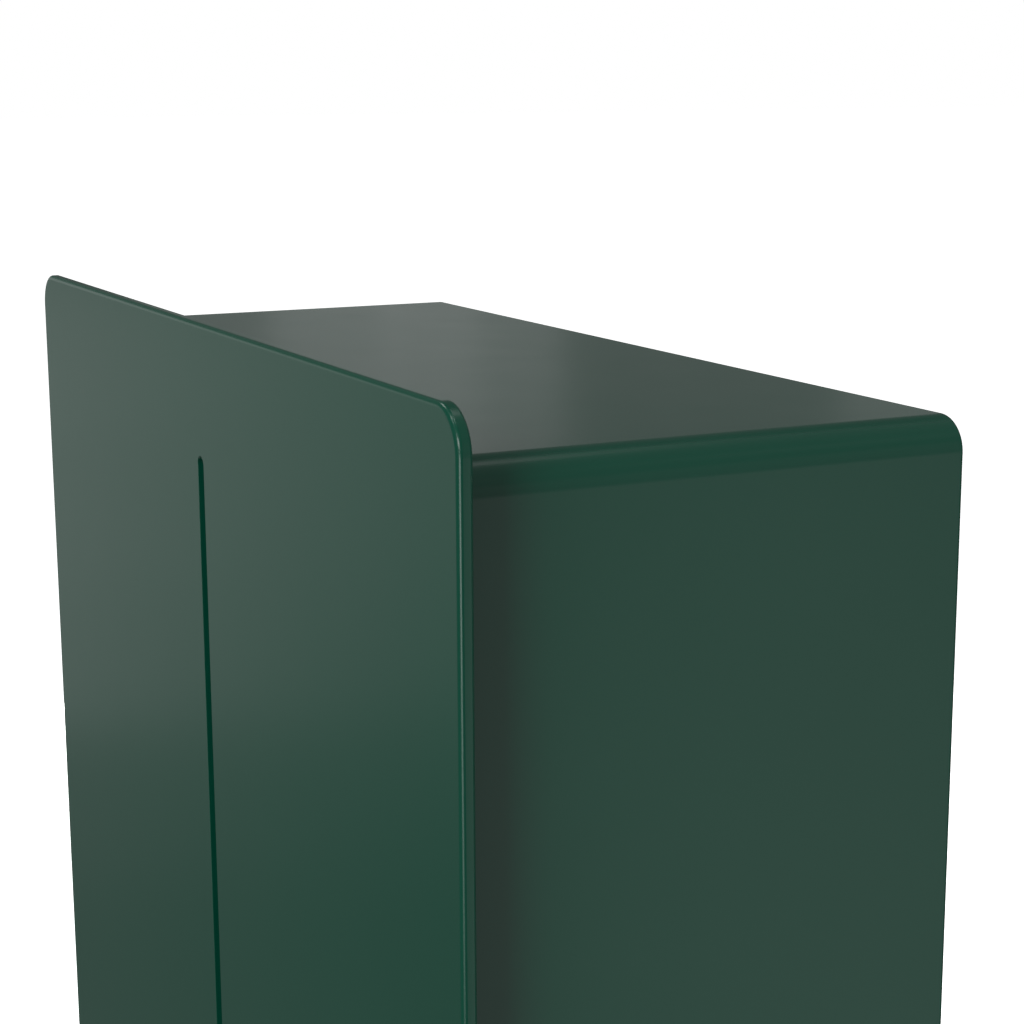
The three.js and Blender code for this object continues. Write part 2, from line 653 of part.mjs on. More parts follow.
// A quarter turn of sheet about the pivot, from the skin down to the pivot's level behind it.
function flapRearBend() {
  const half = earOuter;
  const inner = FLAP_BEND_RADIUS - FLAP_SHEET;
  const across = past([-half, half]);
  const tube = cut(
    barX(FLAP_BEND_RADIUS, [-half, half], 0, 0, ROUND_SIDES),
    barX(inner, across, 0, 0, ROUND_SIDES),
  );
  const below = box(across, [-bendRoom, bendRoom], [-bendRoom, 0]);
  const ahead = box(across, [-bendRoom, 0], [-bendRoom, bendRoom]);
  return cut(tube, below, ahead);
}

function flapEar(side) {
  const span = side > 0 ? [earInner, earOuter] : [-earOuter, -earInner];
  const plate = box(span, [-FLAP_EAR.halfDepth, 0], [0, FLAP_BEND_RADIUS - FLAP_SHEET / 2]);
  const round = barX(FLAP_EAR.halfDepth, span, 0, 0, ROUND_SIDES);
  const above = box(past(span), [-bendRoom, bendRoom], [FLAP_BEND_RADIUS, bendRoom]);
  return cut(join(plate, round), above);
}

function mailFlap() {
  const top = FLAP_BEND_RADIUS;
  const skin = [top - FLAP_SHEET, top];
  const front = PLATE_BACK + APERTURE.front - FLAP_FRONT_OVERLAP - flapPivotY;
  const wing = APERTURE.width / 2 + FLAP_SIDE_OVERLAP;
  const gripTop = top + GRIP.height;
  const gripHalf = GRIP.width / 2;
  const pieces = [
    box([-wing, wing], [front, -FLAP_WING_NOTCH], skin),
    box([-earOuter, earOuter], [front, 0], skin),
    flapRearBend(),
    flapEar(1),
    flapEar(-1),
    box([-gripHalf, gripHalf], [front, front + FLAP_SHEET], [skin[0], gripTop]),
    box([-gripHalf, gripHalf], [front, front + GRIP.fold], [gripTop - FLAP_SHEET, gripTop]),
  ];
  const bore = barX(FLAP_PIN.boreRadius, past([-wing, wing]));
  return cut(join(...pieces), bore);
}

// An angle under the casing's top whose upright stands inside the end of the aperture.
function flapBracket(side) {
  const edge = APERTURE.width / 2 - BRACKET.gap;
  const under = HALF_HEIGHT - SHEET - flapPivotZ;
  const mirrored = ([a, b]) => (side > 0 ? [a, b] : [-b, -a]);
  const alongY = [-BRACKET.depth / 2, BRACKET.depth / 2];
  const uprightTop = HALF_HEIGHT - flapPivotZ;
  const uprightY = [alongY[0], BRACKET.behindPivot];
  const upright = box(mirrored([edge - SHEET, edge]), uprightY, [under - BRACKET.drop, uprightTop]);
  const flange = box(mirrored([edge - SHEET, edge + BRACKET.flange]), alongY, [under - SHEET, under]);
  return cut(join(upright, flange), barX(FLAP_PIN.boreRadius, mirrored([earInner, edge + BEYOND])));
}

function flapPin(side) {
  const [inner, outer] = [earInner - FLAP_PIN.inward, APERTURE.width / 2 - BRACKET.gap];
  return barX(FLAP_PIN.radius, side > 0 ? [inner, outer] : [-outer, -inner]);
}

const flap = groupAt(mailbox, 0, flapPivotY, flapPivotZ);
place(flap, "mail_flap", mailFlap(), MATERIALS.casing);
for (const [name, side] of [["left", -1], ["right", 1]]) {
  place(flap, `flap_bracket_${name}`, flapBracket(side), MATERIALS.inner);
  place(flap, `flap_pin_${name}`, flapPin(side), MATERIALS.steel);
}

export default mailbox;
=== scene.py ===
# The looks of the wall mounted mailbox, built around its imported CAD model.
# Shapes are worked out in millimetres in the CAD frame and turned into metres as each mesh is made.
import json
import math

import bmesh
import bpy
from mathutils import Matrix, Vector


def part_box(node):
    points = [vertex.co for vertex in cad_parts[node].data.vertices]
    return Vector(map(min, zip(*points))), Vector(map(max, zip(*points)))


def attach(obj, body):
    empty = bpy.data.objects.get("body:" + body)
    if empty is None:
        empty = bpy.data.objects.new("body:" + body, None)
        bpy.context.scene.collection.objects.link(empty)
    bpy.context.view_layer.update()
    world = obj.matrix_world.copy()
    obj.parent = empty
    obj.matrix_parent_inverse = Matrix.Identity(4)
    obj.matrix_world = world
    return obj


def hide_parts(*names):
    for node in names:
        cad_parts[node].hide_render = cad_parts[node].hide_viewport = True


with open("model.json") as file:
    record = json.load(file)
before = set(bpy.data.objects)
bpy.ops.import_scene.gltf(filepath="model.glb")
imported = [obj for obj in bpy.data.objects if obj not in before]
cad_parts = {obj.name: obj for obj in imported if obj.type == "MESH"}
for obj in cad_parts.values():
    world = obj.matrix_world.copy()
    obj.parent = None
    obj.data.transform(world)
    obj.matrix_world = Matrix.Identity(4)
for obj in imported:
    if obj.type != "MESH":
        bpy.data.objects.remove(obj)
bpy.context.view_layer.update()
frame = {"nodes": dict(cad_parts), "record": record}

MM = 0.001
RECORD = frame["record"]
BODY_OF = {node: body for body, nodes in RECORD["behaviour"]["bodies"].items() for node in nodes}

# ---- Sizes that more than one piece uses, in millimetres ----
# Outlines come from the CAD nodes; smaller details, which the CAD leaves out, have their own sizes.


def box(node):
    """The lowest and highest corner of a CAD node."""
    low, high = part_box(node)
    return low / MM, high / MM


def middle(node):
    low, high = box(node)
    return (low + high) / 2


def nodes_named(start):
    """The CAD nodes whose names begin with these letters, in the frame's order."""
    return [node for node in frame["nodes"] if node.startswith(start)]


PLATE_LOW, PLATE_HIGH = box("door_plate")
PLATE_FRONT = PLATE_LOW.y
PLATE_THICKNESS = 4
PLATE_BACK = PLATE_FRONT + PLATE_THICKNESS

SHELL_LOW, SHELL_HIGH = box("casing_shell")
SHELL_RADIUS = 9.5
SHEET = 1.5
APERTURE_HALF_WIDTH = 116

WALL_HOLE_RADIUS = 3.5
STUD_HOLE_RADIUS = 1.75
RIVET_BORE_RADIUS = 2
LOCK_HOLE_RADIUS = 8.25

# Edges of cut sheet, of small parts and of hinge leaves, bends of folded sheet, edges of holes
SHEET_EDGE = 0.25
SMALL_EDGE = 0.2
LEAF_EDGE = 0.3
BEND_RADIUS = 2.0
HOLE_EDGE = 0.2

# How many steps a rounding takes, from a hinge's edge up to a plate's corner, and how many
# sides a round body, a small round body and a nut have
COARSE_STEPS = 3
SMALL_STEPS = 4
EDGE_STEPS = 5
CROWN_STEPS = 6
BEND_STEPS = 8
FILLET_STEPS = 10
CORNER_STEPS = 16
ROUND_SIDES = 64
SMALL_SIDES = 40
HEX_SIDES = 6

# The share of its half width that rounds an end, so that its two corners keep apart
NEARLY_ROUND = 0.999
# Edges that turn by less than this stay smooth, and only the others are softened
SMOOTH_ANGLE = math.radians(32)

# How far a cutter runs past what it cuts, and a joined piece runs into its neighbour
BEYOND = 1


# ---- Outlines: lists of 2-D points ----

def rounded(points, radii, steps=CORNER_STEPS, closed=True):
    """The outline with its corners rounded by arcs; radii is one radius, or one for each point."""
    if not isinstance(radii, (list, tuple)):
        radii = [radii] * len(points)
    outline = []
    for index, (point, radius) in enumerate(zip(points, radii)):
        corner = Vector(point)
        end_of_open = not closed and index in (0, len(points) - 1)
        if radius == 0 or end_of_open:
            outline.append(corner)
            continue
        before = (Vector(points[index - 1]) - corner).normalized()
        after = (Vector(points[(index + 1) % len(points)]) - corner).normalized()
        half = before.angle(after) / 2
        centre = corner + (before + after).normalized() * radius / math.sin(half)
        reach = radius / math.tan(half)
        start = corner + before * reach - centre
        end = corner + after * reach - centre
        first = math.atan2(start.y, start.x)
        sweep = math.remainder(math.atan2(end.y, end.x) - first, 2 * math.pi)
        for step in range(steps + 1):
            angle = first + sweep * step / steps
            outline.append(centre + radius * Vector((math.cos(angle), math.sin(angle))))
    return outline


def rectangle(low, high, radii=0.0, steps=CORNER_STEPS):
    corners = [(low[0], low[1]), (high[0], low[1]), (high[0], high[1]), (low[0], high[1])]
    return rounded(corners, radii, steps)


def centred(half_width, half_height, radius):
    return rectangle((-half_width, -half_height), (half_width, half_height), radius)


def square_about(place, half, radius):
    """A square round a place, in the XZ plane."""
    corner = (place.x - half, place.z - half)
    opposite = (place.x + half, place.z + half)
    return rectangle(corner, opposite, radius, SMALL_STEPS)


def circle(radius, sides=ROUND_SIDES):
    angles = [2 * math.pi * side / sides for side in range(sides)]
    return [Vector((radius * math.cos(angle), radius * math.sin(angle))) for angle in angles]


def arc(centre, radius, first, sweep, steps):
    """The points of an arc, both ends included."""
    angles = [first + sweep * step / steps for step in range(steps + 1)]
    return [(centre[0] + radius * math.cos(a), centre[1] + radius * math.sin(a)) for a in angles]


def fillet(radius, face, inward, spread=1):
    """(inset, place) pairs round an edge, from the flat face to the side.

    The rounding is `spread` times as wide as deep, and a negative radius flares out.
    """
    pairs = []
    for step in range(FILLET_STEPS + 1):
        angle = step / FILLET_STEPS * math.pi / 2
        inset = radius * spread * (1 - math.sin(angle))
        pairs.append((inset, face + inward * abs(radius) * (1 - math.cos(angle))))
    return pairs


def edged(low, high, low_fillet, high_fillet, low_spread=1):
    """(inset, place) pairs for a body with rounded edges at both of its faces."""
    return fillet(low_fillet, low, 1, low_spread) + fillet(high_fillet, high, -1)[::-1]


def flared(low, high, flare):
    """(inset, place) pairs for a cutter that leaves rounded edges at both faces."""
    return [(-flare, low - BEYOND), *edged(low, high, -flare, -flare), (-flare, high + BEYOND)]


# ---- Meshes ----

def in_space(axis, u, v, along):
    """A point given across and along an axis; across is the other two axes in alphabetical order."""
    return {"X": Vector((along, u, v)), "Y": Vector((u, along, v)), "Z": Vector((u, v, along))}[axis]


def finished(name, bm):
    """An object in metres from a bmesh in millimetres, with its faces pointing out."""
    bmesh.ops.recalc_face_normals(bm, faces=bm.faces)
    bmesh.ops.scale(bm, vec=(MM, MM, MM), verts=bm.verts)
    mesh = bpy.data.meshes.new(name)
    bm.to_mesh(mesh)
    bm.free()
    piece = bpy.data.objects.new(name, mesh)
    bpy.context.scene.collection.objects.link(piece)
    return piece


def loft(name, rings, closed=False):
    """A skin through rings of equal length, capped at both ends, or closed on itself."""
    bm = bmesh.new()
    rows = [[bm.verts.new(point) for point in ring] for ring in rings]
    count = len(rows[0])
    pairs = list(zip(rows, rows[1:]))
    if closed:
        pairs.append((rows[-1], rows[0]))
    else:
        bm.faces.new(rows[0])
        bm.faces.new(rows[-1])
    for near, far in pairs:
        for here in range(count):
            there = (here + 1) % count
            bm.faces.new((near[here], near[there], far[there], far[here]))
    return finished(name, bm)


def slab(name, half_width, half_height, radius, pairs, axis="Y", centre=(0, 0), closed=False):
    """A rounded rectangle carried along an axis through (inset, place) pairs."""
    rings = []
    for inset, along in pairs:
        outline = centred(half_width - inset, half_height - inset, radius - inset)
        rings.append([in_space(axis, centre[0] + p.x, centre[1] + p.y, along) for p in outline])
    return loft(name, rings, closed)


def prism(name, outline, axis, low, high):
    """An outline carried straight along an axis."""
    return loft(name, [[in_space(axis, p[0], p[1], along) for p in outline] for along in (low, high)])


def turned(name, profile, centre, axis="Y", sides=ROUND_SIDES):
    """A turned body: profile is (radius, place along axis) pairs, and a radius of 0 closes an end."""
    bm = bmesh.new()
    rows = []
    for radius, along in profile:
        outline = circle(radius, sides) if radius > 0 else [Vector((0, 0))]
        points = [in_space(axis, centre[0] + p.x, centre[1] + p.y, along) for p in outline]
        rows.append([bm.verts.new(point) for point in points])
    joins = list(zip(rows, rows[1:]))
    if all(radius > 0 for radius, _ in profile):
        joins.append((rows[-1], rows[0]))
    for near, far in joins:
        for here in range(sides):
            there = (here + 1) % sides
            if len(near) == 1:
                bm.faces.new((near[0], far[there], far[here]))
            elif len(far) == 1:
                bm.faces.new((near[here], near[there], far[0]))
            else:
                bm.faces.new((near[here], near[there], far[there], far[here]))
    return finished(name, bm)


def bar(name, radius, low, high, centre, axis, edge, steps, sides):
    """A solid round bar with rounded ends."""
    corners = [(0, low), (radius, low), (radius, high), (0, high)]
    return turned(name, rounded(corners, (0, edge, edge, 0), steps), centre, axis, sides)


def bored(centre, radius, low, high, axis="Y", flare=HOLE_EDGE):
    """A cutter for a round hole whose edges are slightly rounded."""
    profile = [(radius - inset, along) for inset, along in flared(low, high, flare)]
    profile = [(0, profile[0][1]), *profile, (0, profile[-1][1])]
    return turned("cutter", profile, centre, axis, SMALL_SIDES)


THREAD_DEPTH_SHARE = 0.3


def threaded(radius, low, high, pitch, end):
    """A profile for a threaded rod from low to high, with a chamfer at its far end."""
    depth = pitch * THREAD_DEPTH_SHARE
    turns = int(abs(high - low) / pitch)
    step = (high - low) / turns
    points = [(radius, low)]
    for turn in range(turns):
        points.append((radius - depth, low + (turn + 0.5) * step))
        points.append((radius, low + (turn + 1) * step))
    points[-1] = (radius - end, high)
    return points


def apply_modifiers(piece):
    """Replaces the piece's mesh with what its modifiers make."""
    bpy.context.view_layer.update()
    depsgraph = bpy.context.evaluated_depsgraph_get()
    mesh = bpy.data.meshes.new_from_object(piece.evaluated_get(depsgraph))
    piece.modifiers.clear()
    piece.data = mesh
    return piece


def combine(operation, piece, others):
    for other in others:
        modifier = piece.modifiers.new(operation, "BOOLEAN")
        modifier.operation = operation
        modifier.solver = "EXACT"
        modifier.object = other
    apply_modifiers(piece)
    for other in others:
        bpy.data.objects.remove(other)
    return piece


def cut(piece, *cutters):
    return combine("DIFFERENCE", piece, cutters)


def join(piece, *others):
    return combine("UNION", piece, others)


def soften(piece, width, segments=2):
    """Rounds the piece's sharp edges."""
    bevel = piece.modifiers.new("Edges", "BEVEL")
    bevel.limit_method = "ANGLE"
    bevel.angle_limit = SMOOTH_ANGLE
    bevel.width = width * MM
    bevel.segments = segments
    return apply_modifiers(piece)


def shade(piece):
    """Smooth shading that keeps sharp edges sharp and flat faces flat."""
    bm = bmesh.new()
    bm.from_mesh(piece.data)
    for face in bm.faces:
        face.smooth = True
    for edge in bm.edges:
        edge.smooth = len(edge.link_faces) == 2 and edge.calc_face_angle(0) < SMOOTH_ANGLE
    bm.to_mesh(piece.data)
    bm.free()
    weighted = piece.modifiers.new("Weighted normals", "WEIGHTED_NORMAL")
    weighted.keep_sharp = True


def stand_in(piece, material, node):
    """The finished piece takes a CAD node's place: it rides on the node's body and takes the given
    material.
    """
    shade(piece)
    piece.name = f"{node}_fine"
    piece.data.materials.clear()
    piece.data.materials.append(material)
    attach(piece, BODY_OF[node])
    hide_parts(node)


# ---- Materials ----

# The stretch of values that most of a noise lies in
NOISE_MIDDLE = (0.3, 0.7)
# How many times finer than its colour a surface's polish varies
POLISH_FINER = 5
GRAIN_DETAIL = 2
GRAIN_DEPTH = 0.05
# The colour mixing node's sockets
MIX_SHARE = 0
MIX_FIRST = 6
MIX_SECOND = 7
MIX_RESULT = 2


def material_of(name):
    material = bpy.data.materials.new(name)
    material.use_nodes = True
    tree = material.node_tree
    return material, tree, tree.nodes["Principled BSDF"]


def noise(tree, scale, detail=4.0):
    """A noise in the piece's own coordinates, with features about 1 / scale metres wide."""
    coordinates = tree.nodes.new("ShaderNodeTexCoord")
    texture = tree.nodes.new("ShaderNodeTexNoise")
    texture.inputs["Scale"].default_value = scale
    texture.inputs["Detail"].default_value = detail
    tree.links.new(coordinates.outputs["Object"], texture.inputs["Vector"])
    return texture.outputs["Fac"]


def remapped(tree, value, low, high):
    """The noise's middle stretch mapped to low..high."""
    node = tree.nodes.new("ShaderNodeMapRange")
    node.inputs["From Min"].default_value = NOISE_MIDDLE[0]
    node.inputs["From Max"].default_value = NOISE_MIDDLE[1]
    node.inputs["To Min"].default_value = low
    node.inputs["To Max"].default_value = high
    tree.links.new(value, node.inputs["Value"])
    return node.outputs["Result"]


def mixed_colour(tree, value, dark, light):
    node = tree.nodes.new("ShaderNodeMix")
    node.data_type = "RGBA"
    node.inputs[MIX_FIRST].default_value = (*dark, 1)
    node.inputs[MIX_SECOND].default_value = (*light, 1)
    tree.links.new(value, node.inputs[MIX_SHARE])
    return node.outputs[MIX_RESULT]


def bump(tree, shader, height, strength, depth):
    node = tree.nodes.new("ShaderNodeBump")
    node.inputs["Strength"].default_value = strength
    node.inputs["Distance"].default_value = depth * MM
    tree.links.new(height, node.inputs["Height"])
    tree.links.new(node.outputs["Normal"], shader.inputs["Normal"])


def surface(name, dark, light, rough, patches, grain, strength, metallic=0.0):
    """A material whose colour and roughness drift slowly and whose surface has a fine grain.

    rough is the lowest and highest roughness, patches and grain are the noises' scales, and strength is
    how strong the grain's bumps are.
    """
    material, tree, shader = material_of(name)
    drift = remapped(tree, noise(tree, patches), 0, 1)
    tree.links.new(mixed_colour(tree, drift, dark, light), shader.inputs["Base Color"])
    polish = remapped(tree, noise(tree, patches * POLISH_FINER), *rough)
    tree.links.new(polish, shader.inputs["Roughness"])
    bump(tree, shader, noise(tree, grain, detail=GRAIN_DETAIL), strength, GRAIN_DEPTH)
    shader.inputs["Metallic"].default_value = metallic
    return material


GREEN = {
    "dark": (0.0006, 0.0478, 0.0276),
    "light": (0.0010, 0.0500, 0.0290),
    "patches": 9,
    "grain": 650,
}

green = surface("Green powder coat", rough=(0.245, 0.255), strength=0.02, **GREEN)
green_inner = surface("Green powder coat inside", rough=(0.36, 0.42), strength=0.08, **GREEN)
chrome = surface(
    "Nickel chrome", dark=(0.60, 0.61, 0.62), light=(0.68, 0.69, 0.70), rough=(0.12, 0.20),
    patches=60, grain=2500, strength=0.03, metallic=1.0,
)
zinc = surface(
    "Zinc plated steel", dark=(0.42, 0.43, 0.44), light=(0.58, 0.59, 0.60), rough=(0.28, 0.42),
    patches=220, grain=1800, strength=0.12, metallic=1.0,
)
rubber = surface(
    "Black rubber", dark=(0.012, 0.012, 0.013), light=(0.020, 0.020, 0.022), rough=(0.68, 0.82),
    patches=150, grain=1500, strength=0.25,
)
nylon = surface(
    "Natural nylon", dark=(0.58, 0.56, 0.50), light=(0.66, 0.64, 0.58), rough=(0.45, 0.55),
    patches=120, grain=1500, strength=0.10,
)
moulding = surface(
    "Black moulding", dark=(0.011, 0.012, 0.013), light=(0.017, 0.018, 0.019), rough=(0.45, 0.56),
    patches=80, grain=1900, strength=0.30,
)

# Polycarbonate, with faint waves in its surface
CLEAR_TINTS = ((0.74, 0.80, 0.78), (0.80, 0.85, 0.83))
CLEAR_ROUGHNESS = (0.05, 0.11)
CLEAR_IOR = 1.585
CLEAR_TRANSMISSION = 0.92
CLEAR_TINT_SCALE = 30
CLEAR_POLISH_SCALE = 40
CLEAR_WAVE = {"scale": 25, "detail": 1, "strength": 0.05, "depth": 0.2}


def clear_plastic():
    material, tree, shader = material_of("Clear strip")
    drift = remapped(tree, noise(tree, CLEAR_TINT_SCALE), 0, 1)
    tree.links.new(mixed_colour(tree, drift, *CLEAR_TINTS), shader.inputs["Base Color"])
    shader.inputs["IOR"].default_value = CLEAR_IOR
    shader.inputs["Transmission Weight"].default_value = CLEAR_TRANSMISSION
    polish = remapped(tree, noise(tree, CLEAR_POLISH_SCALE), *CLEAR_ROUGHNESS)
    tree.links.new(polish, shader.inputs["Roughness"])
    waves = noise(tree, CLEAR_WAVE["scale"], CLEAR_WAVE["detail"])
    bump(tree, shader, waves, CLEAR_WAVE["strength"], CLEAR_WAVE["depth"])
    return material


clear = clear_plastic()


# ---- Door plate and the studs welded to its back ----

PLATE_RADIUS = 12
PLATE_FRONT_FILLET = 1.3
PLATE_FRONT_SPREAD = 1.25
PLATE_BACK_FILLET = 1.1
SLIT_WIDTH = 5.6
SLIT_END_MARGIN = 41
SLIT_FILLET = 0.15
STUD_RADIUS = 1.5
STUD_FOOT = 0.35
STUD_PITCH = 0.5
STUD_CHAMFER = 0.4


def slit_cutter():
    half_width = SLIT_WIDTH / 2
    half_height = PLATE_HIGH.z - SLIT_END_MARGIN
    pairs = flared(PLATE_FRONT, PLATE_BACK, SLIT_FILLET)
    return slab("cutter", half_width, half_height, half_width * NEARLY_ROUND, pairs)


def door_plate():
    pairs = edged(PLATE_FRONT, PLATE_BACK, PLATE_FRONT_FILLET, PLATE_BACK_FILLET, PLATE_FRONT_SPREAD)
    plate = slab("door_plate_fine", PLATE_HIGH.x, PLATE_HIGH.z, PLATE_RADIUS, pairs)
    lock = middle("lock_housing")
    rivet = middle("cover_rivet")
    lock_hole = bored((lock.x, lock.z), LOCK_HOLE_RADIUS, PLATE_FRONT, PLATE_BACK)
    rivet_hole = bored((rivet.x, rivet.z), RIVET_BORE_RADIUS, PLATE_FRONT, PLATE_BACK)
    cut(plate, slit_cutter(), lock_hole, rivet_hole)
    stand_in(plate, green, "door_plate")


def strip_studs():
    """A threaded stud through each nut, with a short plain foot on the plate."""
    stud_end = PLATE_HIGH.y
    thread = threaded(STUD_RADIUS, PLATE_BACK + STUD_FOOT, stud_end, STUD_PITCH, STUD_CHAMFER)
    profile = [(0, PLATE_BACK), (STUD_RADIUS, PLATE_BACK), *thread, (0, stud_end)]
    for node in nodes_named("strip_nut"):
        place = middle(node)
        stud = turned(node.replace("nut", "stud"), profile, (place.x, place.z), sides=SMALL_SIDES)
        shade(stud)
        stud.data.materials.append(zinc)
        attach(stud, "door")


door_plate()
strip_studs()


# ---- Casing: a wrapped sheet, its back, and the frame behind the door ----

SHELL_REAR_FILLET = 1.25
APERTURE_FRONT = PLATE_BACK + 3.5
APERTURE_REAR = PLATE_BACK + 31.5
APERTURE_RADIUS = 2
DRAIN_RADIUS = 2.5
DRAIN_X = (-140, 140)
DRAIN_Y = (-120, -30)
FRAME_BAR = 12
RETAINER_HEM = 8
HEM_LIP_EDGE = 0.3
# Just under half of the doubled sheet, so that the fold's top is round
HEM_RADIUS = 1.49

# A grommet's section from its bore's front round to its bore's back, then a radius for each corner
GROMMET_TAPER = 0.6
GROMMET_RIM = 1
GROMMET_GROOVE = 0.8
GROMMET_LIP = 0.9
GROMMET_RADII = (0.4, 0.5, 0.4, 0.3, 0.2, 0.2)

BUFFER_TAPER = 0.5
BUFFER_EDGE = 0.6


def casing_shell():
    outside = edged(SHELL_LOW.y, SHELL_HIGH.y, SHEET_EDGE, SHELL_REAR_FILLET)
    inside = [(SHEET, SHELL_HIGH.y), (SHEET, SHELL_LOW.y)]
    shell = slab("shell", SHELL_HIGH.x, SHELL_HIGH.z, SHELL_RADIUS, outside + inside, closed=True)
    half_depth = (APERTURE_REAR - APERTURE_FRONT) / 2
    aperture = slab(
        "cutter", APERTURE_HALF_WIDTH, half_depth, APERTURE_RADIUS,
        flared(SHELL_HIGH.z - SHEET, SHELL_HIGH.z, SHEET_EDGE),
        "Z", (0, (APERTURE_REAR + APERTURE_FRONT) / 2),
    )
    drains = [
        bored((x, y), DRAIN_RADIUS, SHELL_LOW.z, SHELL_LOW.z + SHEET, "Z")
        for x in DRAIN_X for y in DRAIN_Y
    ]
    places = [middle(node) for node in nodes_named("hinge_rivet")]
    bores = [
        bored((place.y, place.z), RIVET_BORE_RADIUS, SHELL_LOW.x, SHELL_LOW.x + SHEET, "X")
        for place in places
    ]
    cut(shell, aperture, *drains, *bores)
    stand_in(shell, green, "casing_shell")


def back_panel():
    low, high = box("back_panel")
    pairs = edged(low.y, high.y, SHEET_EDGE, SHEET_EDGE)
    panel = slab("panel", high.x, high.z, SHELL_RADIUS - SHEET, pairs)
    places = [middle(node) for node in nodes_named("wall_grommet")]
    cut(panel, *[bored((place.x, place.z), WALL_HOLE_RADIUS, low.y, high.y) for place in places])
    stand_in(panel, green_inner, "back_panel")


def wall_grommets():
    for node in nodes_named("wall_grommet"):
        low, high = box(node)
        place = (low + high) / 2
        radius = (high.x - low.x) / 2
        corners = [
            (WALL_HOLE_RADIUS, low.y),
            (radius - GROMMET_TAPER, low.y),
            (radius, low.y + GROMMET_RIM),
            (radius - GROMMET_GROOVE, high.y - GROMMET_LIP),
            (radius, high.y),
            (WALL_HOLE_RADIUS, high.y),
        ]
        body = turned("grommet", rounded(corners, GROMMET_RADII, SMALL_STEPS), (place.x, place.z))
        stand_in(body, rubber, node)


def door_frame():
    """A flat ring whose opening has lips folded in at its sides and foot."""
    low, high = box("door_frame")
    side = box("mail_retainer")[1].x
    top = high.z - FRAME_BAR
    pairs = edged(low.y, low.y + SHEET, SHEET_EDGE, SHEET_EDGE)
    body = slab("frame", high.x, high.z, SHELL_RADIUS - SHEET, pairs)
    lip_corners = (
        ((side, -top - SHEET), (side + SHEET, top)),
        ((-side - SHEET, -top - SHEET), (-side, top)),
        ((-side, -top - SHEET), (side, -top)),
    )
    lips = [
        soften(prism("lip", rectangle(*corners), "Y", low.y + SHEET_EDGE, high.y), SHEET_EDGE)
        for corners in lip_corners
    ]
    join(body, *lips)
    bends = [(-BEND_RADIUS, low.y - BEYOND), *fillet(-BEND_RADIUS, low.y, 1), (0, high.y + BEYOND)]
    rings = []
    for inset, along in bends:
        top_edge = top - inset * SHEET_EDGE / BEND_RADIUS
        outline = rectangle((-side + inset, -top + inset), (side - inset, top_edge))
        rings.append([in_space("Y", p.x, p.y, along) for p in outline])
    cut(body, loft("cutter", rings))
    stand_in(body, green_inner, "door_frame")


def mail_retainer():
    """A low sheet whose top is folded over into a closed hem."""
    low, high = box("mail_retainer")
    middle_y = low.y + SHEET
    hem = high.z - RETAINER_HEM
    corners = [
        (low.y, low.z), (middle_y, low.z), (middle_y, hem),
        (high.y, hem), (high.y, high.z), (low.y, high.z),
    ]
    outline = rounded(corners, (0, 0, 0, HEM_LIP_EDGE, HEM_RADIUS, HEM_RADIUS), BEND_STEPS)
    sheet = soften(prism("retainer", outline, "X", low.x, high.x), SHEET_EDGE)
    stand_in(sheet, green_inner, "mail_retainer")


def door_buffers():
    for node in nodes_named("door_buffer"):
        low, high = box(node)
        place = (low + high) / 2
        radius = (high.x - low.x) / 2
        corners = [(0, low.y), (radius - BUFFER_TAPER, low.y), (radius, high.y), (0, high.y)]
        outline = rounded(corners, (0, BUFFER_EDGE, 0, 0), EDGE_STEPS)
        body = turned("buffer", outline, (place.x, place.z), sides=SMALL_SIDES)
        stand_in(body, rubber, node)


casing_shell()
back_panel()
wall_grommets()
door_frame()
mail_retainer()
door_buffers()


# ---- Door hinges ----

HINGE_LEAF = 2
HINGE_WASHER = 2
WASHER_PLAY = 0.03
PIN_BORE_RADIUS = 2.25
PIN_EDGE = 0.6
KNUCKLE_RADIUS = 4
KNUCKLE_EDGE = 0.3
BODY_LEAF_RADIUS = 5
DOOR_LEAF_RADIUS = 4
LEAF_ROOT_RADIUS = 0.5
WEB_HALF = 2
WEB_START = 0.5
WEB_END = 1

# A blind rivet: a domed head with a dimple, the shank, and the bulb behind the sheet. The head's
# heights are from its face, and the bulb's from the sheet's inner face and from the rivet's tip.
DIMPLE_RADIUS = 0.9
DIMPLE_DEPTH = 0.6
DIMPLE_WALL = 0.55
DIMPLE_RIM_RADIUS = 1.1
CROWN_SHARE = 0.75
CROWN_DROP = 0.12
BRIM_HEIGHT = 0.95
HEAD_HEIGHT = 1
SHANK_RADIUS = 1.75
BULB_RADIUS = 2.75
BULB_SWELL = 0.3
BULB_END_RADIUS = 2.6
BULB_END = 0.6
TIP_RADIUS = 1.0
TIP_HOLLOW = 0.3
RIVET_RADII = (0, 0.1, 0.2, 1.6, 0.05, 0.05, 0, 0.5, 0.6, 0.2, 0)


def knuckle(place, low, high):
    return bar(
        "knuckle", KNUCKLE_RADIUS, low, high, (place.x, place.y), "Z",
        KNUCKLE_EDGE, COARSE_STEPS, ROUND_SIDES,
    )


def pin_bore(place, low, high):
    return bored((place.x, place.y), PIN_BORE_RADIUS, low, high, "Z")


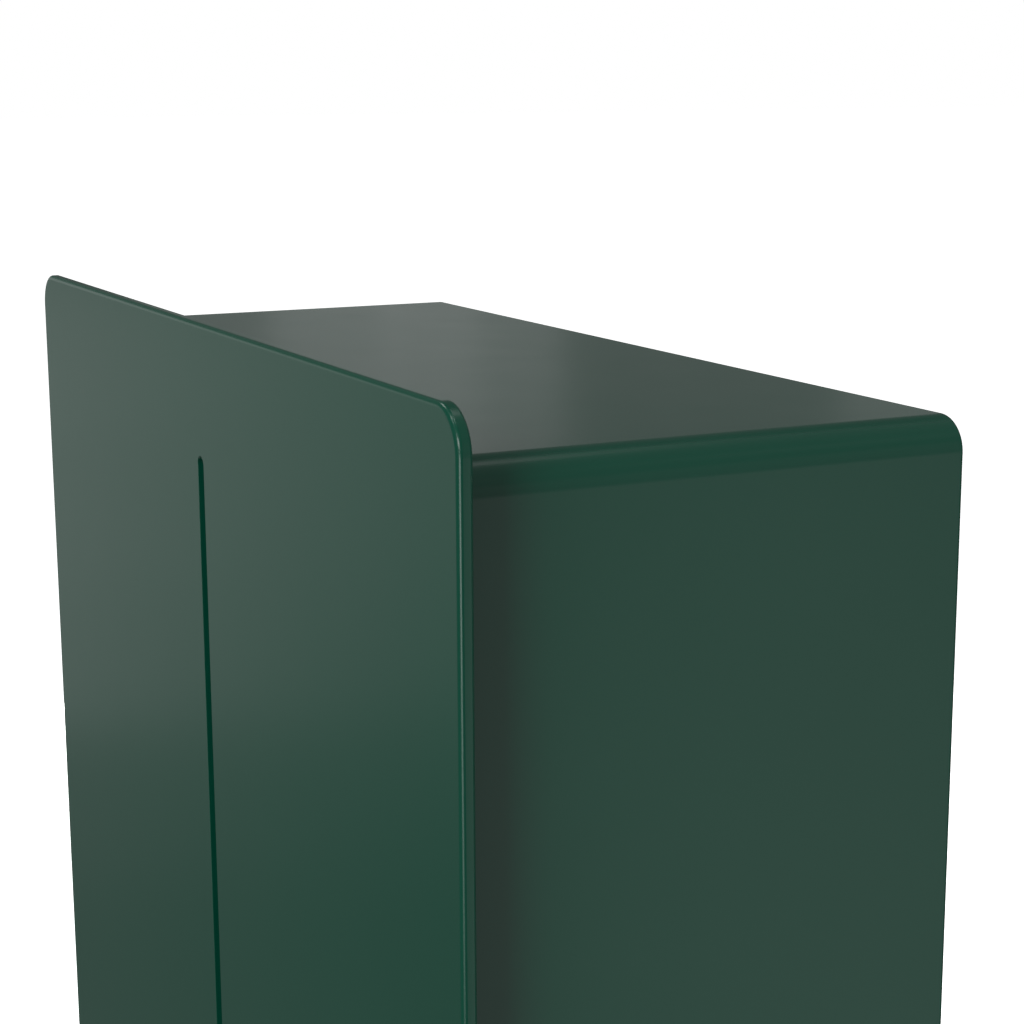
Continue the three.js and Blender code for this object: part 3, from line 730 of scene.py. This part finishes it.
def body_leaf(name, place):
    """The casing's leaf with the lower knuckle."""
    node = f"hinge_body_leaf_{name}"
    low, high = box(node)
    start = place.y + KNUCKLE_RADIUS
    wall = SHELL_LOW.x
    outer = wall - HINGE_LEAF
    top = place.z - HINGE_WASHER / 2
    radii = (LEAF_ROOT_RADIUS, BODY_LEAF_RADIUS, BODY_LEAF_RADIUS, LEAF_ROOT_RADIUS)
    outline = rectangle((start, low.z), (high.y, high.z), radii)
    leaf = soften(prism("leaf", outline, "X", outer, wall), LEAF_EDGE)
    root = prism("root", rectangle((outer, place.y), (wall, start + BEYOND)), "Z", low.z, top)
    join(leaf, soften(root, SMALL_EDGE), knuckle(place, low.z, top))
    holes = [middle(rivet) for rivet in nodes_named("hinge_rivet") if name in rivet]
    bores = [bored((hole.y, hole.z), RIVET_BORE_RADIUS, outer, wall, "X") for hole in holes]
    cut(leaf, pin_bore(place, low.z, top), *bores)
    stand_in(leaf, green, node)


def door_leaf(name, place):
    """The door's leaf with the upper knuckle on a web."""
    node = f"hinge_door_leaf_{name}"
    low, high = box(node)
    bottom = place.z + HINGE_WASHER / 2
    radii = (DOOR_LEAF_RADIUS, LEAF_ROOT_RADIUS, LEAF_ROOT_RADIUS, DOOR_LEAF_RADIUS)
    outline = rectangle((low.x, low.z), (high.x, high.z), radii)
    leaf = soften(prism("leaf", outline, "Y", low.y, low.y + SHEET), LEAF_EDGE)
    web_outline = rectangle(
        (place.x - WEB_HALF, low.y + WEB_START),
        (place.x + WEB_HALF, place.y - WEB_END),
    )
    web = soften(prism("web", web_outline, "Z", bottom, high.z), SMALL_EDGE)
    join(leaf, web, knuckle(place, bottom, high.z))
    cut(leaf, pin_bore(place, bottom, high.z))
    stand_in(leaf, green, node)


def washer(name, place):
    half = HINGE_WASHER / 2 - WASHER_PLAY
    low, high = place.z - half, place.z + half
    corners = [
        (PIN_BORE_RADIUS, low),
        (KNUCKLE_RADIUS, low),
        (KNUCKLE_RADIUS, high),
        (PIN_BORE_RADIUS, high),
    ]
    body = turned("washer", rounded(corners, SMALL_EDGE, COARSE_STEPS), (place.x, place.y), "Z")
    stand_in(body, nylon, f"hinge_washer_{name}")


def hinge(name):
    node = f"hinge_pin_{name}"
    place = middle(node)
    low, high = box(node)
    radius = (high.x - low.x) / 2
    centre = (place.x, place.y)
    pin = bar("pin", radius, low.z, high.z, centre, "Z", PIN_EDGE, EDGE_STEPS, SMALL_SIDES)
    stand_in(pin, zinc, node)
    washer(name, place)
    body_leaf(name, place)
    door_leaf(name, place)


def hinge_rivets():
    for node in nodes_named("hinge_rivet"):
        low, high = box(node)
        place = (low + high) / 2
        radius = (high.z - low.z) / 2
        bulb = SHELL_LOW.x + SHEET
        corners = [
            (0, low.x + DIMPLE_DEPTH),
            (DIMPLE_RADIUS, low.x + DIMPLE_WALL),
            (DIMPLE_RIM_RADIUS, low.x),
            (radius * CROWN_SHARE, low.x + CROWN_DROP),
            (radius, low.x + BRIM_HEIGHT),
            (SHANK_RADIUS, low.x + HEAD_HEIGHT),
            (SHANK_RADIUS, bulb),
            (BULB_RADIUS, bulb + BULB_SWELL),
            (BULB_END_RADIUS, high.x - BULB_END),
            (TIP_RADIUS, high.x),
            (0, high.x - TIP_HOLLOW),
        ]
        profile = rounded(corners, RIVET_RADII, SMALL_STEPS, closed=False)
        stand_in(turned("rivet", profile, (place.y, place.z), "X", SMALL_SIDES), green, node)


hinge("upper")
hinge("lower")
hinge_rivets()


# ---- Sight strip, the frame that holds it, and its nuts ----

STRIP_RADIUS = 1
STRIP_EDGE = 0.25
STRIP_PLAY = 0.25
HOLDER_RADIUS = 3
HOLDER_FRONT_EDGE = 0.2
HOLDER_BACK_EDGE = 0.8
WINDOW_HALF_WIDTH = 6
WINDOW_RADIUS = 2
WINDOW_EDGE = 0.4
NUT_CHAMFER = 0.6
NUT_HOLE_EDGE = 0.3


def sight_strip():
    low, high = box("sight_strip")
    outline = rectangle((low.x, low.z), (high.x, high.z), STRIP_RADIUS)
    strip = soften(prism("strip", outline, "Y", low.y, high.y), STRIP_EDGE)
    stand_in(strip, clear, "sight_strip")


def strip_retainer():
    low, high = box("strip_retainer")
    strip_low, strip_high = box("sight_strip")
    window_top = strip_high.z - (strip_high.x - WINDOW_HALF_WIDTH)
    pairs = edged(low.y, high.y, HOLDER_FRONT_EDGE, HOLDER_BACK_EDGE)
    body = slab("retainer", high.x, high.z, HOLDER_RADIUS, pairs)
    pocket_outline = rectangle(
        (strip_low.x - STRIP_PLAY, strip_low.z - STRIP_PLAY),
        (strip_high.x + STRIP_PLAY, strip_high.z + STRIP_PLAY),
        STRIP_RADIUS,
    )
    pocket = prism("cutter", pocket_outline, "Y", low.y - BEYOND, strip_high.y + STRIP_PLAY)
    window_pairs = flared(low.y, high.y, WINDOW_EDGE)
    window = slab("cutter", WINDOW_HALF_WIDTH, window_top, WINDOW_RADIUS, window_pairs)
    places = [middle(node) for node in nodes_named("strip_nut")]
    holes = [bored((place.x, place.z), STUD_HOLE_RADIUS, low.y, high.y) for place in places]
    cut(body, pocket, window, *holes)
    stand_in(body, moulding, "strip_retainer")


def hex_nut(node, bore):
    """A hexagon nut along Y with its corners turned down at both faces."""
    low, high = box(node)
    place = (low + high) / 2
    corner = max(high.x - low.x, high.z - low.z) / 2
    flat = corner * math.cos(math.pi / HEX_SIDES)
    outline = [(place.x + p.x, place.z + p.y) for p in circle(corner, HEX_SIDES)]
    nut = prism("nut", outline, "Y", low.y, high.y)
    slope = NUT_CHAMFER * (corner - flat)
    profile = [
        (0, low.y), (flat, low.y), (corner, low.y + slope),
        (corner, high.y - slope), (flat, high.y), (0, high.y),
    ]
    combine("INTERSECT", nut, [turned("cutter", profile, (place.x, place.z))])
    cut(nut, bored((place.x, place.z), bore, low.y, high.y, flare=NUT_HOLE_EDGE))
    stand_in(nut, zinc, node)


sight_strip()
strip_retainer()
for nut_node in nodes_named("strip_nut"):
    hex_nut(nut_node, STUD_HOLE_RADIUS)


# ---- Cam lock ----

LOCK_PLAY = 0.25

BARREL_RADIUS = 8
BARREL_BORE_RADIUS = 5.75
BARREL_PITCH = 1.0
BARREL_CHAMFER = 0.5
BARREL_THREAD_START = 1
HEAD_EDGE = 0.9
MOUTH_CHAMFER = 0.3

PLUG_RADIUS = 5.5
PLUG_FACE_EDGE = 0.5
PLUG_SQUARE_RADIUS = 0.4
KEYWAY_HALF_WIDTH = 0.625
KEYWAY_HALF_HEIGHT = 3.5
KEYWAY_RADIUS = 0.3
KEYWAY_CHAMFER = 0.4
KEYWAY_DEPTH = 12
SCREW_HOLE_RADIUS = 2.25
SCREW_HOLE_DEPTH = 7
SCREW_HOLE_EDGE = 0.01

CAM_SQUARE = 6.5
CAM_SQUARE_RADIUS = 0.3
CAM_FOOT_RADIUS = 4
CAM_EDGE = 0.3

SCREW_RADIUS = 2
SCREW_PITCH = 0.7
SCREW_CHAMFER = 0.5
SCREW_CROWN_SHARE = 0.5
SCREW_CROWN_DROP = 0.3
SCREW_CROWN_RADII = (0, 0.8, 1.0, 0)
SCREW_SLOT_HALF = 0.5
SCREW_SLOT_DEPTH = 1


def lock_housing():
    """A round head on a threaded barrel, bored for the plug."""
    low, high = box("lock_housing")
    place = (low + high) / 2
    head = (high.x - low.x) / 2
    bore = BARREL_BORE_RADIUS
    mouth = [(bore, low.y + MOUTH_CHAMFER), (bore + MOUTH_CHAMFER, low.y)]
    corners = [(bore, low.y), (head, low.y), (head, PLATE_FRONT), (BARREL_RADIUS, PLATE_FRONT)]
    front = rounded(corners, (0, HEAD_EDGE, SMALL_EDGE, 0), CROWN_STEPS, closed=False)
    thread_start = PLATE_FRONT + BARREL_THREAD_START
    thread = threaded(BARREL_RADIUS, thread_start, high.y, BARREL_PITCH, BARREL_CHAMFER)
    profile = [*mouth, *front[1:], *thread, (bore, high.y)]
    stand_in(turned("housing", profile, (place.x, place.z)), chrome, "lock_housing")


def lock_plug():
    """The turning core: a keyway in front, a square for the cam and a screw hole behind."""
    low, high = box("lock_plug")
    place = middle("lock_housing")
    centre = (place.x, place.z)
    cam_low, cam_high = box("lock_cam")
    body_end = cam_low.y - LOCK_PLAY
    corners = [(0, low.y), (PLUG_RADIUS, low.y), (PLUG_RADIUS, body_end), (0, body_end)]
    plug = turned("plug", rounded(corners, (0, PLUG_FACE_EDGE, SMALL_EDGE, 0), SMALL_STEPS), centre)
    square_outline = square_about(place, CAM_SQUARE / 2 - LOCK_PLAY, PLUG_SQUARE_RADIUS)
    join(plug, soften(prism("square", square_outline, "Y", body_end - BEYOND, high.y), SMALL_EDGE))
    keyway_pairs = [
        (-KEYWAY_CHAMFER, low.y - BEYOND),
        (-KEYWAY_CHAMFER, low.y),
        (0, low.y + KEYWAY_CHAMFER),
        (0, low.y + KEYWAY_DEPTH),
    ]
    keyway = slab(
        "cutter", KEYWAY_HALF_WIDTH, KEYWAY_HALF_HEIGHT, KEYWAY_RADIUS, keyway_pairs, centre=centre,
    )
    hole_start = cam_high.y - SCREW_HOLE_DEPTH
    screw_hole = bored(centre, SCREW_HOLE_RADIUS, hole_start, high.y + BEYOND, flare=SCREW_HOLE_EDGE)
    cut(plug, keyway, screw_hole)
    stand_in(plug, chrome, "lock_plug")


def lock_cam():
    """A flat bar, round at the plug's end, with a square hole for the plug."""
    low, high = box("lock_cam")
    place = middle("lock_housing")
    half = (high.x - low.x) / 2
    top_radius = half * NEARLY_ROUND
    radii = (CAM_FOOT_RADIUS, CAM_FOOT_RADIUS, top_radius, top_radius)
    outline = rectangle((place.x - half, low.z), (place.x + half, high.z), radii)
    cam = soften(prism("cam", outline, "Y", low.y, high.y), CAM_EDGE)
    hole_outline = square_about(place, CAM_SQUARE / 2, CAM_SQUARE_RADIUS)
    cut(cam, prism("cutter", hole_outline, "Y", low.y - BEYOND, high.y + BEYOND))
    stand_in(cam, zinc, "lock_cam")


def cam_screw():
    """A slotted screw whose head holds the cam on the plug."""
    low, high = box("cam_screw")
    place = middle("lock_housing")
    radius = (high.x - low.x) / 2
    under_head = box("lock_cam")[1].y
    corners = [
        (radius, under_head),
        (radius, high.y - SCREW_CROWN_DROP),
        (radius * SCREW_CROWN_SHARE, high.y),
        (0, high.y),
    ]
    crown = rounded(corners, SCREW_CROWN_RADII, CROWN_STEPS, closed=False)
    thread = threaded(SCREW_RADIUS, under_head, low.y, SCREW_PITCH, SCREW_CHAMFER)[::-1]
    profile = [(0, low.y), *thread, *crown]
    screw = turned("screw", profile, (place.x, place.z), sides=SMALL_SIDES)
    slot_outline = rectangle(
        (place.x - radius - BEYOND, place.z - SCREW_SLOT_HALF),
        (place.x + radius + BEYOND, place.z + SCREW_SLOT_HALF),
    )
    cut(screw, prism("cutter", slot_outline, "Y", high.y - SCREW_SLOT_DEPTH, high.y + BEYOND))
    stand_in(screw, zinc, "cam_screw")


lock_housing()
hex_nut("lock_nut", LOCK_HOLE_RADIUS)
lock_plug()
lock_cam()
cam_screw()


# ---- Keyhole cover and the rivet it swings on ----

COVER_NECK_RADIUS = 5
COVER_FILL_RADIUS = 4
COVER_EDGE = 0.45
COVER_EDGE_SEGMENTS = 4
COVER_PLAY = 0.25

# The rivet: a crowned head, the neck in the cover's hole, a shoulder in front of the plate,
# a shank through the plate and a flat end behind it
PIVOT_CROWN_SHARE = 0.6
PIVOT_CROWN_DROP = 0.1
PIVOT_NECK_RADIUS = 1.75
PIVOT_SHOULDER_RADIUS = 3
PIVOT_SHANK_RADIUS = 1.5
PIVOT_END_RADIUS = 2.6
PIVOT_RADII = (0, 1.2, 0.1, 0, 0, 0.2, 0, 0, 0, 0.1, 0.5, 0)


def cover_outline(pivot, disc, disc_radius):
    """A disc with a neck up to a smaller round about the pivot, the inner corners filled by arcs."""
    neck = COVER_NECK_RADIUS
    fill = COVER_FILL_RADIUS
    drop = math.sqrt((disc_radius + fill) ** 2 - (neck + fill) ** 2)
    meet = math.atan2(drop, neck + fill)
    left = (pivot.x - neck - fill, disc[1] + drop)
    right = (pivot.x + neck + fill, disc[1] + drop)
    round_disc = arc(disc, disc_radius, math.pi - meet, math.pi + 2 * meet, ROUND_SIDES)
    return [
        *arc((pivot.x, pivot.z), neck, 0, math.pi, CORNER_STEPS),
        *arc(left, fill, 0, -meet, FILLET_STEPS),
        *round_disc[1:-1],
        *arc(right, fill, math.pi + meet, -meet, FILLET_STEPS),
    ]


def keyhole_cover():
    low, high = box("keyhole_cover")
    pivot = middle("cover_rivet")
    disc_radius = (high.x - low.x) / 2
    outline = cover_outline(pivot, (pivot.x, low.z + disc_radius), disc_radius)
    cover = soften(prism("cover", outline, "Y", low.y, high.y), COVER_EDGE, COVER_EDGE_SEGMENTS)
    cut(cover, bored((pivot.x, pivot.z), RIVET_BORE_RADIUS, low.y, high.y))
    stand_in(cover, chrome, "keyhole_cover")


def cover_rivet():
    low, high = box("cover_rivet")
    place = (low + high) / 2
    head = (high.x - low.x) / 2
    cover_low, cover_high = box("keyhole_cover")
    neck_front = cover_low.y - COVER_PLAY
    neck_back = cover_high.y + COVER_PLAY
    corners = [
        (0, low.y),
        (head * PIVOT_CROWN_SHARE, low.y + PIVOT_CROWN_DROP),
        (head, neck_front),
        (PIVOT_NECK_RADIUS, neck_front),
        (PIVOT_NECK_RADIUS, neck_back),
        (PIVOT_SHOULDER_RADIUS, neck_back),
        (PIVOT_SHOULDER_RADIUS, PLATE_FRONT),
        (PIVOT_SHANK_RADIUS, PLATE_FRONT),
        (PIVOT_SHANK_RADIUS, PLATE_BACK),
        (PIVOT_SHOULDER_RADIUS, PLATE_BACK),
        (PIVOT_END_RADIUS, high.y),
        (0, high.y),
    ]
    profile = rounded(corners, PIVOT_RADII, EDGE_STEPS, closed=False)
    rivet = turned("rivet", profile, (place.x, place.z), sides=SMALL_SIDES)
    stand_in(rivet, zinc, "cover_rivet")


keyhole_cover()
cover_rivet()


# ---- Mail flap, its brackets and pins ----

FLAP_BEND = 3
FLAP_PIN_BORE_RADIUS = 1.375
FLAP_PIN_BORE_EDGE = 0.1
FLAP_PIN_EDGE = 0.4
WING_NOTCH = 3
WING_RADII = (2, 2, 1, 1)
GRIP_HALF_WIDTH = 40
GRIP_FOLD = 8
GRIP_LIP_EDGE = 0.3

# An ear's sizes are from the pivot
EAR_OUTER = 113.75
EAR_REACH = 3
EAR_REAR_SHARE = 0.45
EAR_TOP = 2
EAR_RADII = (2.2, 1.4, 0, 0)

BRACKET_GAP = 0.25
BRACKET_FLANGE = 12
BRACKET_RADIUS = 0.6

FLAP_LOW, FLAP_HIGH = box("mail_flap")
FLAP_PIVOT = middle("flap_pin_left").yz
FLAP_TOP = FLAP_PIVOT[1] + FLAP_BEND


def flap_skin():
    """The top sheet with its quarter bend over the pivot, as one section carried across."""
    outside = arc(FLAP_PIVOT, FLAP_BEND, 0, math.pi / 2, CORNER_STEPS)[::-1]
    inside = arc(FLAP_PIVOT, FLAP_BEND - SHEET, 0, math.pi / 2, CORNER_STEPS)
    section = [(FLAP_LOW.y, FLAP_TOP - SHEET), (FLAP_LOW.y, FLAP_TOP), *outside, *inside]
    return soften(prism("flap", section, "X", -EAR_OUTER, EAR_OUTER), SHEET_EDGE)


def flap_grip():
    """A strip folded up along the flap's front edge, and back at its top."""
    front = FLAP_LOW.y
    top = FLAP_HIGH.z
    under = FLAP_TOP - SHEET
    corners = [
        (front, under),
        (front, top),
        (front + GRIP_FOLD, top),
        (front + GRIP_FOLD, top - SHEET),
        (front + SHEET, top - SHEET),
        (front + SHEET, under),
    ]
    radii = (0, BEND_RADIUS, GRIP_LIP_EDGE, GRIP_LIP_EDGE, BEND_RADIUS - SHEET, 0)
    section = rounded(corners, radii, BEND_STEPS)
    return soften(prism("grip", section, "X", -GRIP_HALF_WIDTH, GRIP_HALF_WIDTH), SHEET_EDGE)


def flap_ear(side):
    """A small upright ear with a pin hole, at the left (-1) or right (1) end of the bend."""
    pivot_y, pivot_z = FLAP_PIVOT
    outline = rectangle(
        (pivot_y - EAR_REACH, pivot_z - EAR_REACH),
        (pivot_y + EAR_REACH * EAR_REAR_SHARE, pivot_z + EAR_TOP),
        EAR_RADII, BEND_STEPS,
    )
    ends = sorted((side * (EAR_OUTER - SHEET), side * EAR_OUTER))
    return soften(prism("ear", outline, "X", *ends), SHEET_EDGE)


def mail_flap():
    rear = FLAP_PIVOT[0] - WING_NOTCH
    wing_outline = rectangle((FLAP_LOW.x, FLAP_LOW.y), (FLAP_HIGH.x, rear), WING_RADII, BEND_STEPS)
    wings = soften(prism("wings", wing_outline, "Z", FLAP_TOP - SHEET, FLAP_TOP), SHEET_EDGE)
    flap = join(wings, flap_skin(), flap_grip(), flap_ear(-1), flap_ear(1))
    cut(flap, bored(FLAP_PIVOT, FLAP_PIN_BORE_RADIUS, -EAR_OUTER, EAR_OUTER, "X", FLAP_PIN_BORE_EDGE))
    stand_in(flap, green, "mail_flap")


def flap_bracket(name, side):
    """An angle under the casing's top, and a tongue up beside the flap that carries its pin."""
    node = f"flap_bracket_{name}"
    low, high = box(node)
    under = SHELL_HIGH.z - SHEET
    outer = APERTURE_HALF_WIDTH - BRACKET_GAP
    inner = outer - SHEET
    flange = outer + BRACKET_FLANGE
    corners = [
        (side * inner, low.z),
        (side * outer, low.z),
        (side * outer, under - SHEET),
        (side * flange, under - SHEET),
        (side * flange, under),
        (side * inner, under),
    ]
    outline = rounded(corners, (0, 0, BRACKET_RADIUS, 0, 0, 0), EDGE_STEPS)
    bracket = soften(prism("bracket", outline, "Y", low.y, high.y), SMALL_EDGE)
    tongue_outline = rectangle(
        (low.y, under - BEYOND),
        (FLAP_PIVOT[0] + SHEET, high.z),
        (0, 0, BRACKET_RADIUS, BRACKET_RADIUS), SMALL_STEPS,
    )
    ends = sorted((side * inner, side * outer))
    join(bracket, soften(prism("tongue", tongue_outline, "X", *ends), SMALL_EDGE))
    cut(bracket, bored(FLAP_PIVOT, FLAP_PIN_BORE_RADIUS, *ends, "X", FLAP_PIN_BORE_EDGE))
    stand_in(bracket, green_inner, node)


def flap_pin(name):
    node = f"flap_pin_{name}"
    low, high = box(node)
    radius = (high.z - low.z) / 2
    centre = middle(node).yz
    pin = bar("pin", radius, low.x, high.x, centre, "X", FLAP_PIN_EDGE, SMALL_STEPS, SMALL_SIDES)
    stand_in(pin, zinc, node)


mail_flap()
for bracket_name, bracket_side in (("left", -1), ("right", 1)):
    flap_bracket(bracket_name, bracket_side)
    flap_pin(bracket_name)


# ---- Floor, light and camera: in metres and degrees, the lens in millimetres ----

CAMERA_PLACE = Vector((0.62096, -0.3496, 0.3130))
CAMERA_AZIMUTH = 64.18
CAMERA_DOWN = 11.483
CAMERA_ROLL = -0.245
CAMERA_LENS = 75.08
FAR_CLIP = 500

FLOOR_Z = -0.75
FLOOR_HALF = 60
FLOOR_PATCHES = 3
FLOOR_TINTS = (0.84, 0.86)
FLOOR_ROUGHNESS = 0.9
FLOOR_GLOW = 1.0

WHITE = (1, 1, 1, 1)
WORLD_GLOW = 0.126
WORLD_SEEN = 1.0
# The mixing node's sockets for the shader that other rays meet and for the one that the camera sees
MIX_OTHERS = 1
MIX_CAMERA = 2

# Each light is a soft rectangle that faces the origin: name, azimuth from the front to the right,
# elevation, distance, width, height, radiance, and whether reflections show it.
LIGHTS = [
    ("Key", 39.7, 18, 4.8, 1.2, 2.6, 8.0, False),
    ("Key shine", 34, 21, 4.8, 2.2, 1.3, 7.0, True),
    ("Key foot", 37, -6, 4.8, 2.2, 1.0, 4.8, True),
    ("Key foot low", 37, -17, 4.8, 2.2, 0.9, 2.0, True),
    ("Front", -5, 15, 4.8, 2.8, 2.4, 1.3, False),
    ("Front shine", -5, 15, 4.8, 2.8, 2.4, 0.8, True),
    ("Right top", 75, 38, 4.8, 2.4, 2.0, 2.1, False),
    ("Front top shine", -5, 50, 4.8, 0.8, 0.8, 9.0, True),
    ("Left top shine", -60, 44, 4.8, 1.0, 1.0, 5.0, True),
    ("Top shine", 50, 76, 4.8, 0.8, 0.8, 8.0, True),
    ("Top", 0, 88, 4.8, 3.0, 3.0, 0.2, False),
    ("Back top", 165, 58, 4.8, 4.5, 4.5, 0.15, True),
    ("Left", -72, 8, 2.4, 2.2, 0.5, 0.42, True),
    ("Left 1", -72, -1.5, 2.4, 2.2, 0.21, 0.241, True),
    ("Left 2", -72, -6.5, 2.4, 2.2, 0.21, 0.209, True),
    ("Left 3", -72, -11.5, 2.4, 2.2, 0.21, 0.172, True),
    ("Left 4", -72, -16.5, 2.4, 2.2, 0.21, 0.033, True),
    ("Left fill", -112, -20, 3.0, 1.6, 1.2, 11.0, False),
    ("Back fill", 180, 0, 3.0, 1.6, 1.6, 9.0, False),
    ("Back left 1", -104, 10, 2.4, 0.21, 0.9, 0.120, True),
    ("Back left 2", -108.5, 10, 2.4, 0.17, 0.9, 0.247, True),
    ("Back left 3", -112, 10, 2.4, 0.125, 0.9, 0.267, True),
    ("Back left 4", -115, 10, 2.4, 0.125, 0.9, 0.190, True),
    ("Back left 5", -118.5, 10, 2.4, 0.17, 0.9, 0.056, True),
    ("Back left 6", -123.5, 10, 2.4, 0.25, 0.9, 0.057, True),
    ("Back left 7", -131, 10, 2.4, 0.38, 0.9, 0.160, True),
    ("Right back", 119, -14, 2.4, 1.0, 1.2, 0.62, True),
    ("Right back low", 119, -32, 2.4, 1.0, 0.6, 0.25, True),
    ("Right back top", 119, 14, 2.4, 1.0, 0.9, 0.28, True),
    ("Right back high", 121, 36, 2.4, 1.0, 1.1, 0.17, True),
    ("Back left top", -151, 74.5, 4.8, 1.35, 1.5, 1.2, True),
]


def add_camera():
    data = bpy.data.cameras.new("Camera")
    data.lens = CAMERA_LENS
    data.clip_end = FAR_CLIP
    camera = bpy.data.objects.new("Camera", data)
    bpy.context.scene.collection.objects.link(camera)
    azimuth = math.radians(CAMERA_AZIMUTH)
    down = math.radians(CAMERA_DOWN)
    level = math.cos(down)
    forward = Vector((-math.sin(azimuth) * level, math.cos(azimuth) * level, -math.sin(down)))
    turn = forward.to_track_quat("-Z", "Y").to_matrix().to_4x4()
    roll = Matrix.Rotation(math.radians(CAMERA_ROLL), 4, "Z")
    camera.matrix_world = Matrix.Translation(CAMERA_PLACE) @ turn @ roll
    bpy.context.scene.camera = camera


def add_light(name, azimuth, elevation, distance, width, height, radiance, shines):
    data = bpy.data.lights.new(name, "AREA")
    data.shape = "RECTANGLE"
    data.size = width
    data.size_y = height
    data.energy = radiance * width * height * math.pi
    light = bpy.data.objects.new(name, data)
    light.visible_glossy = shines
    bpy.context.scene.collection.objects.link(light)
    azimuth = math.radians(azimuth)
    elevation = math.radians(elevation)
    level = math.cos(elevation)
    direction = Vector((math.sin(azimuth) * level, -math.cos(azimuth) * level, math.sin(elevation)))
    turn = direction.to_track_quat("Z", "Y").to_matrix().to_4x4()
    light.matrix_world = Matrix.Translation(direction * distance) @ turn
    light.visible_camera = False


def add_floor():
    """A pale glowing floor for the camera, which neither lights the object nor mirrors in it."""
    bm = bmesh.new()
    square = ((-1, -1), (1, -1), (1, 1), (-1, 1))
    corners = [(x * FLOOR_HALF, y * FLOOR_HALF, FLOOR_Z) for x, y in square]
    bm.faces.new([bm.verts.new(corner) for corner in corners])
    mesh = bpy.data.meshes.new("floor")
    bm.to_mesh(mesh)
    bm.free()
    floor = bpy.data.objects.new("floor", mesh)
    bpy.context.scene.collection.objects.link(floor)
    material, tree, shader = material_of("Pale floor")
    pale = remapped(tree, noise(tree, FLOOR_PATCHES), *FLOOR_TINTS)
    tree.links.new(pale, shader.inputs["Base Color"])
    shader.inputs["Roughness"].default_value = FLOOR_ROUGHNESS
    shader.inputs["Emission Color"].default_value = WHITE
    shader.inputs["Emission Strength"].default_value = FLOOR_GLOW
    mesh.materials.append(material)
    floor.visible_glossy = False
    floor.visible_diffuse = False


def add_world():
    """White where the camera looks past the object, a faint even glow for everything else."""
    world = bpy.data.worlds.new("Studio")
    bpy.context.scene.world = world
    world.use_nodes = True
    tree = world.node_tree
    tree.nodes.clear()
    output = tree.nodes.new("ShaderNodeOutputWorld")
    mix = tree.nodes.new("ShaderNodeMixShader")
    path = tree.nodes.new("ShaderNodeLightPath")
    tree.links.new(path.outputs["Is Camera Ray"], mix.inputs["Fac"])
    for socket, strength in ((MIX_OTHERS, WORLD_GLOW), (MIX_CAMERA, WORLD_SEEN)):
        background = tree.nodes.new("ShaderNodeBackground")
        background.inputs["Color"].default_value = WHITE
        background.inputs["Strength"].default_value = strength
        tree.links.new(background.outputs["Background"], mix.inputs[socket])
    tree.links.new(mix.outputs["Shader"], output.inputs["Surface"])


add_camera()
add_floor()
add_world()
for light_row in LIGHTS:
    add_light(*light_row)
bpy.context.scene.view_settings.view_transform = "Standard"
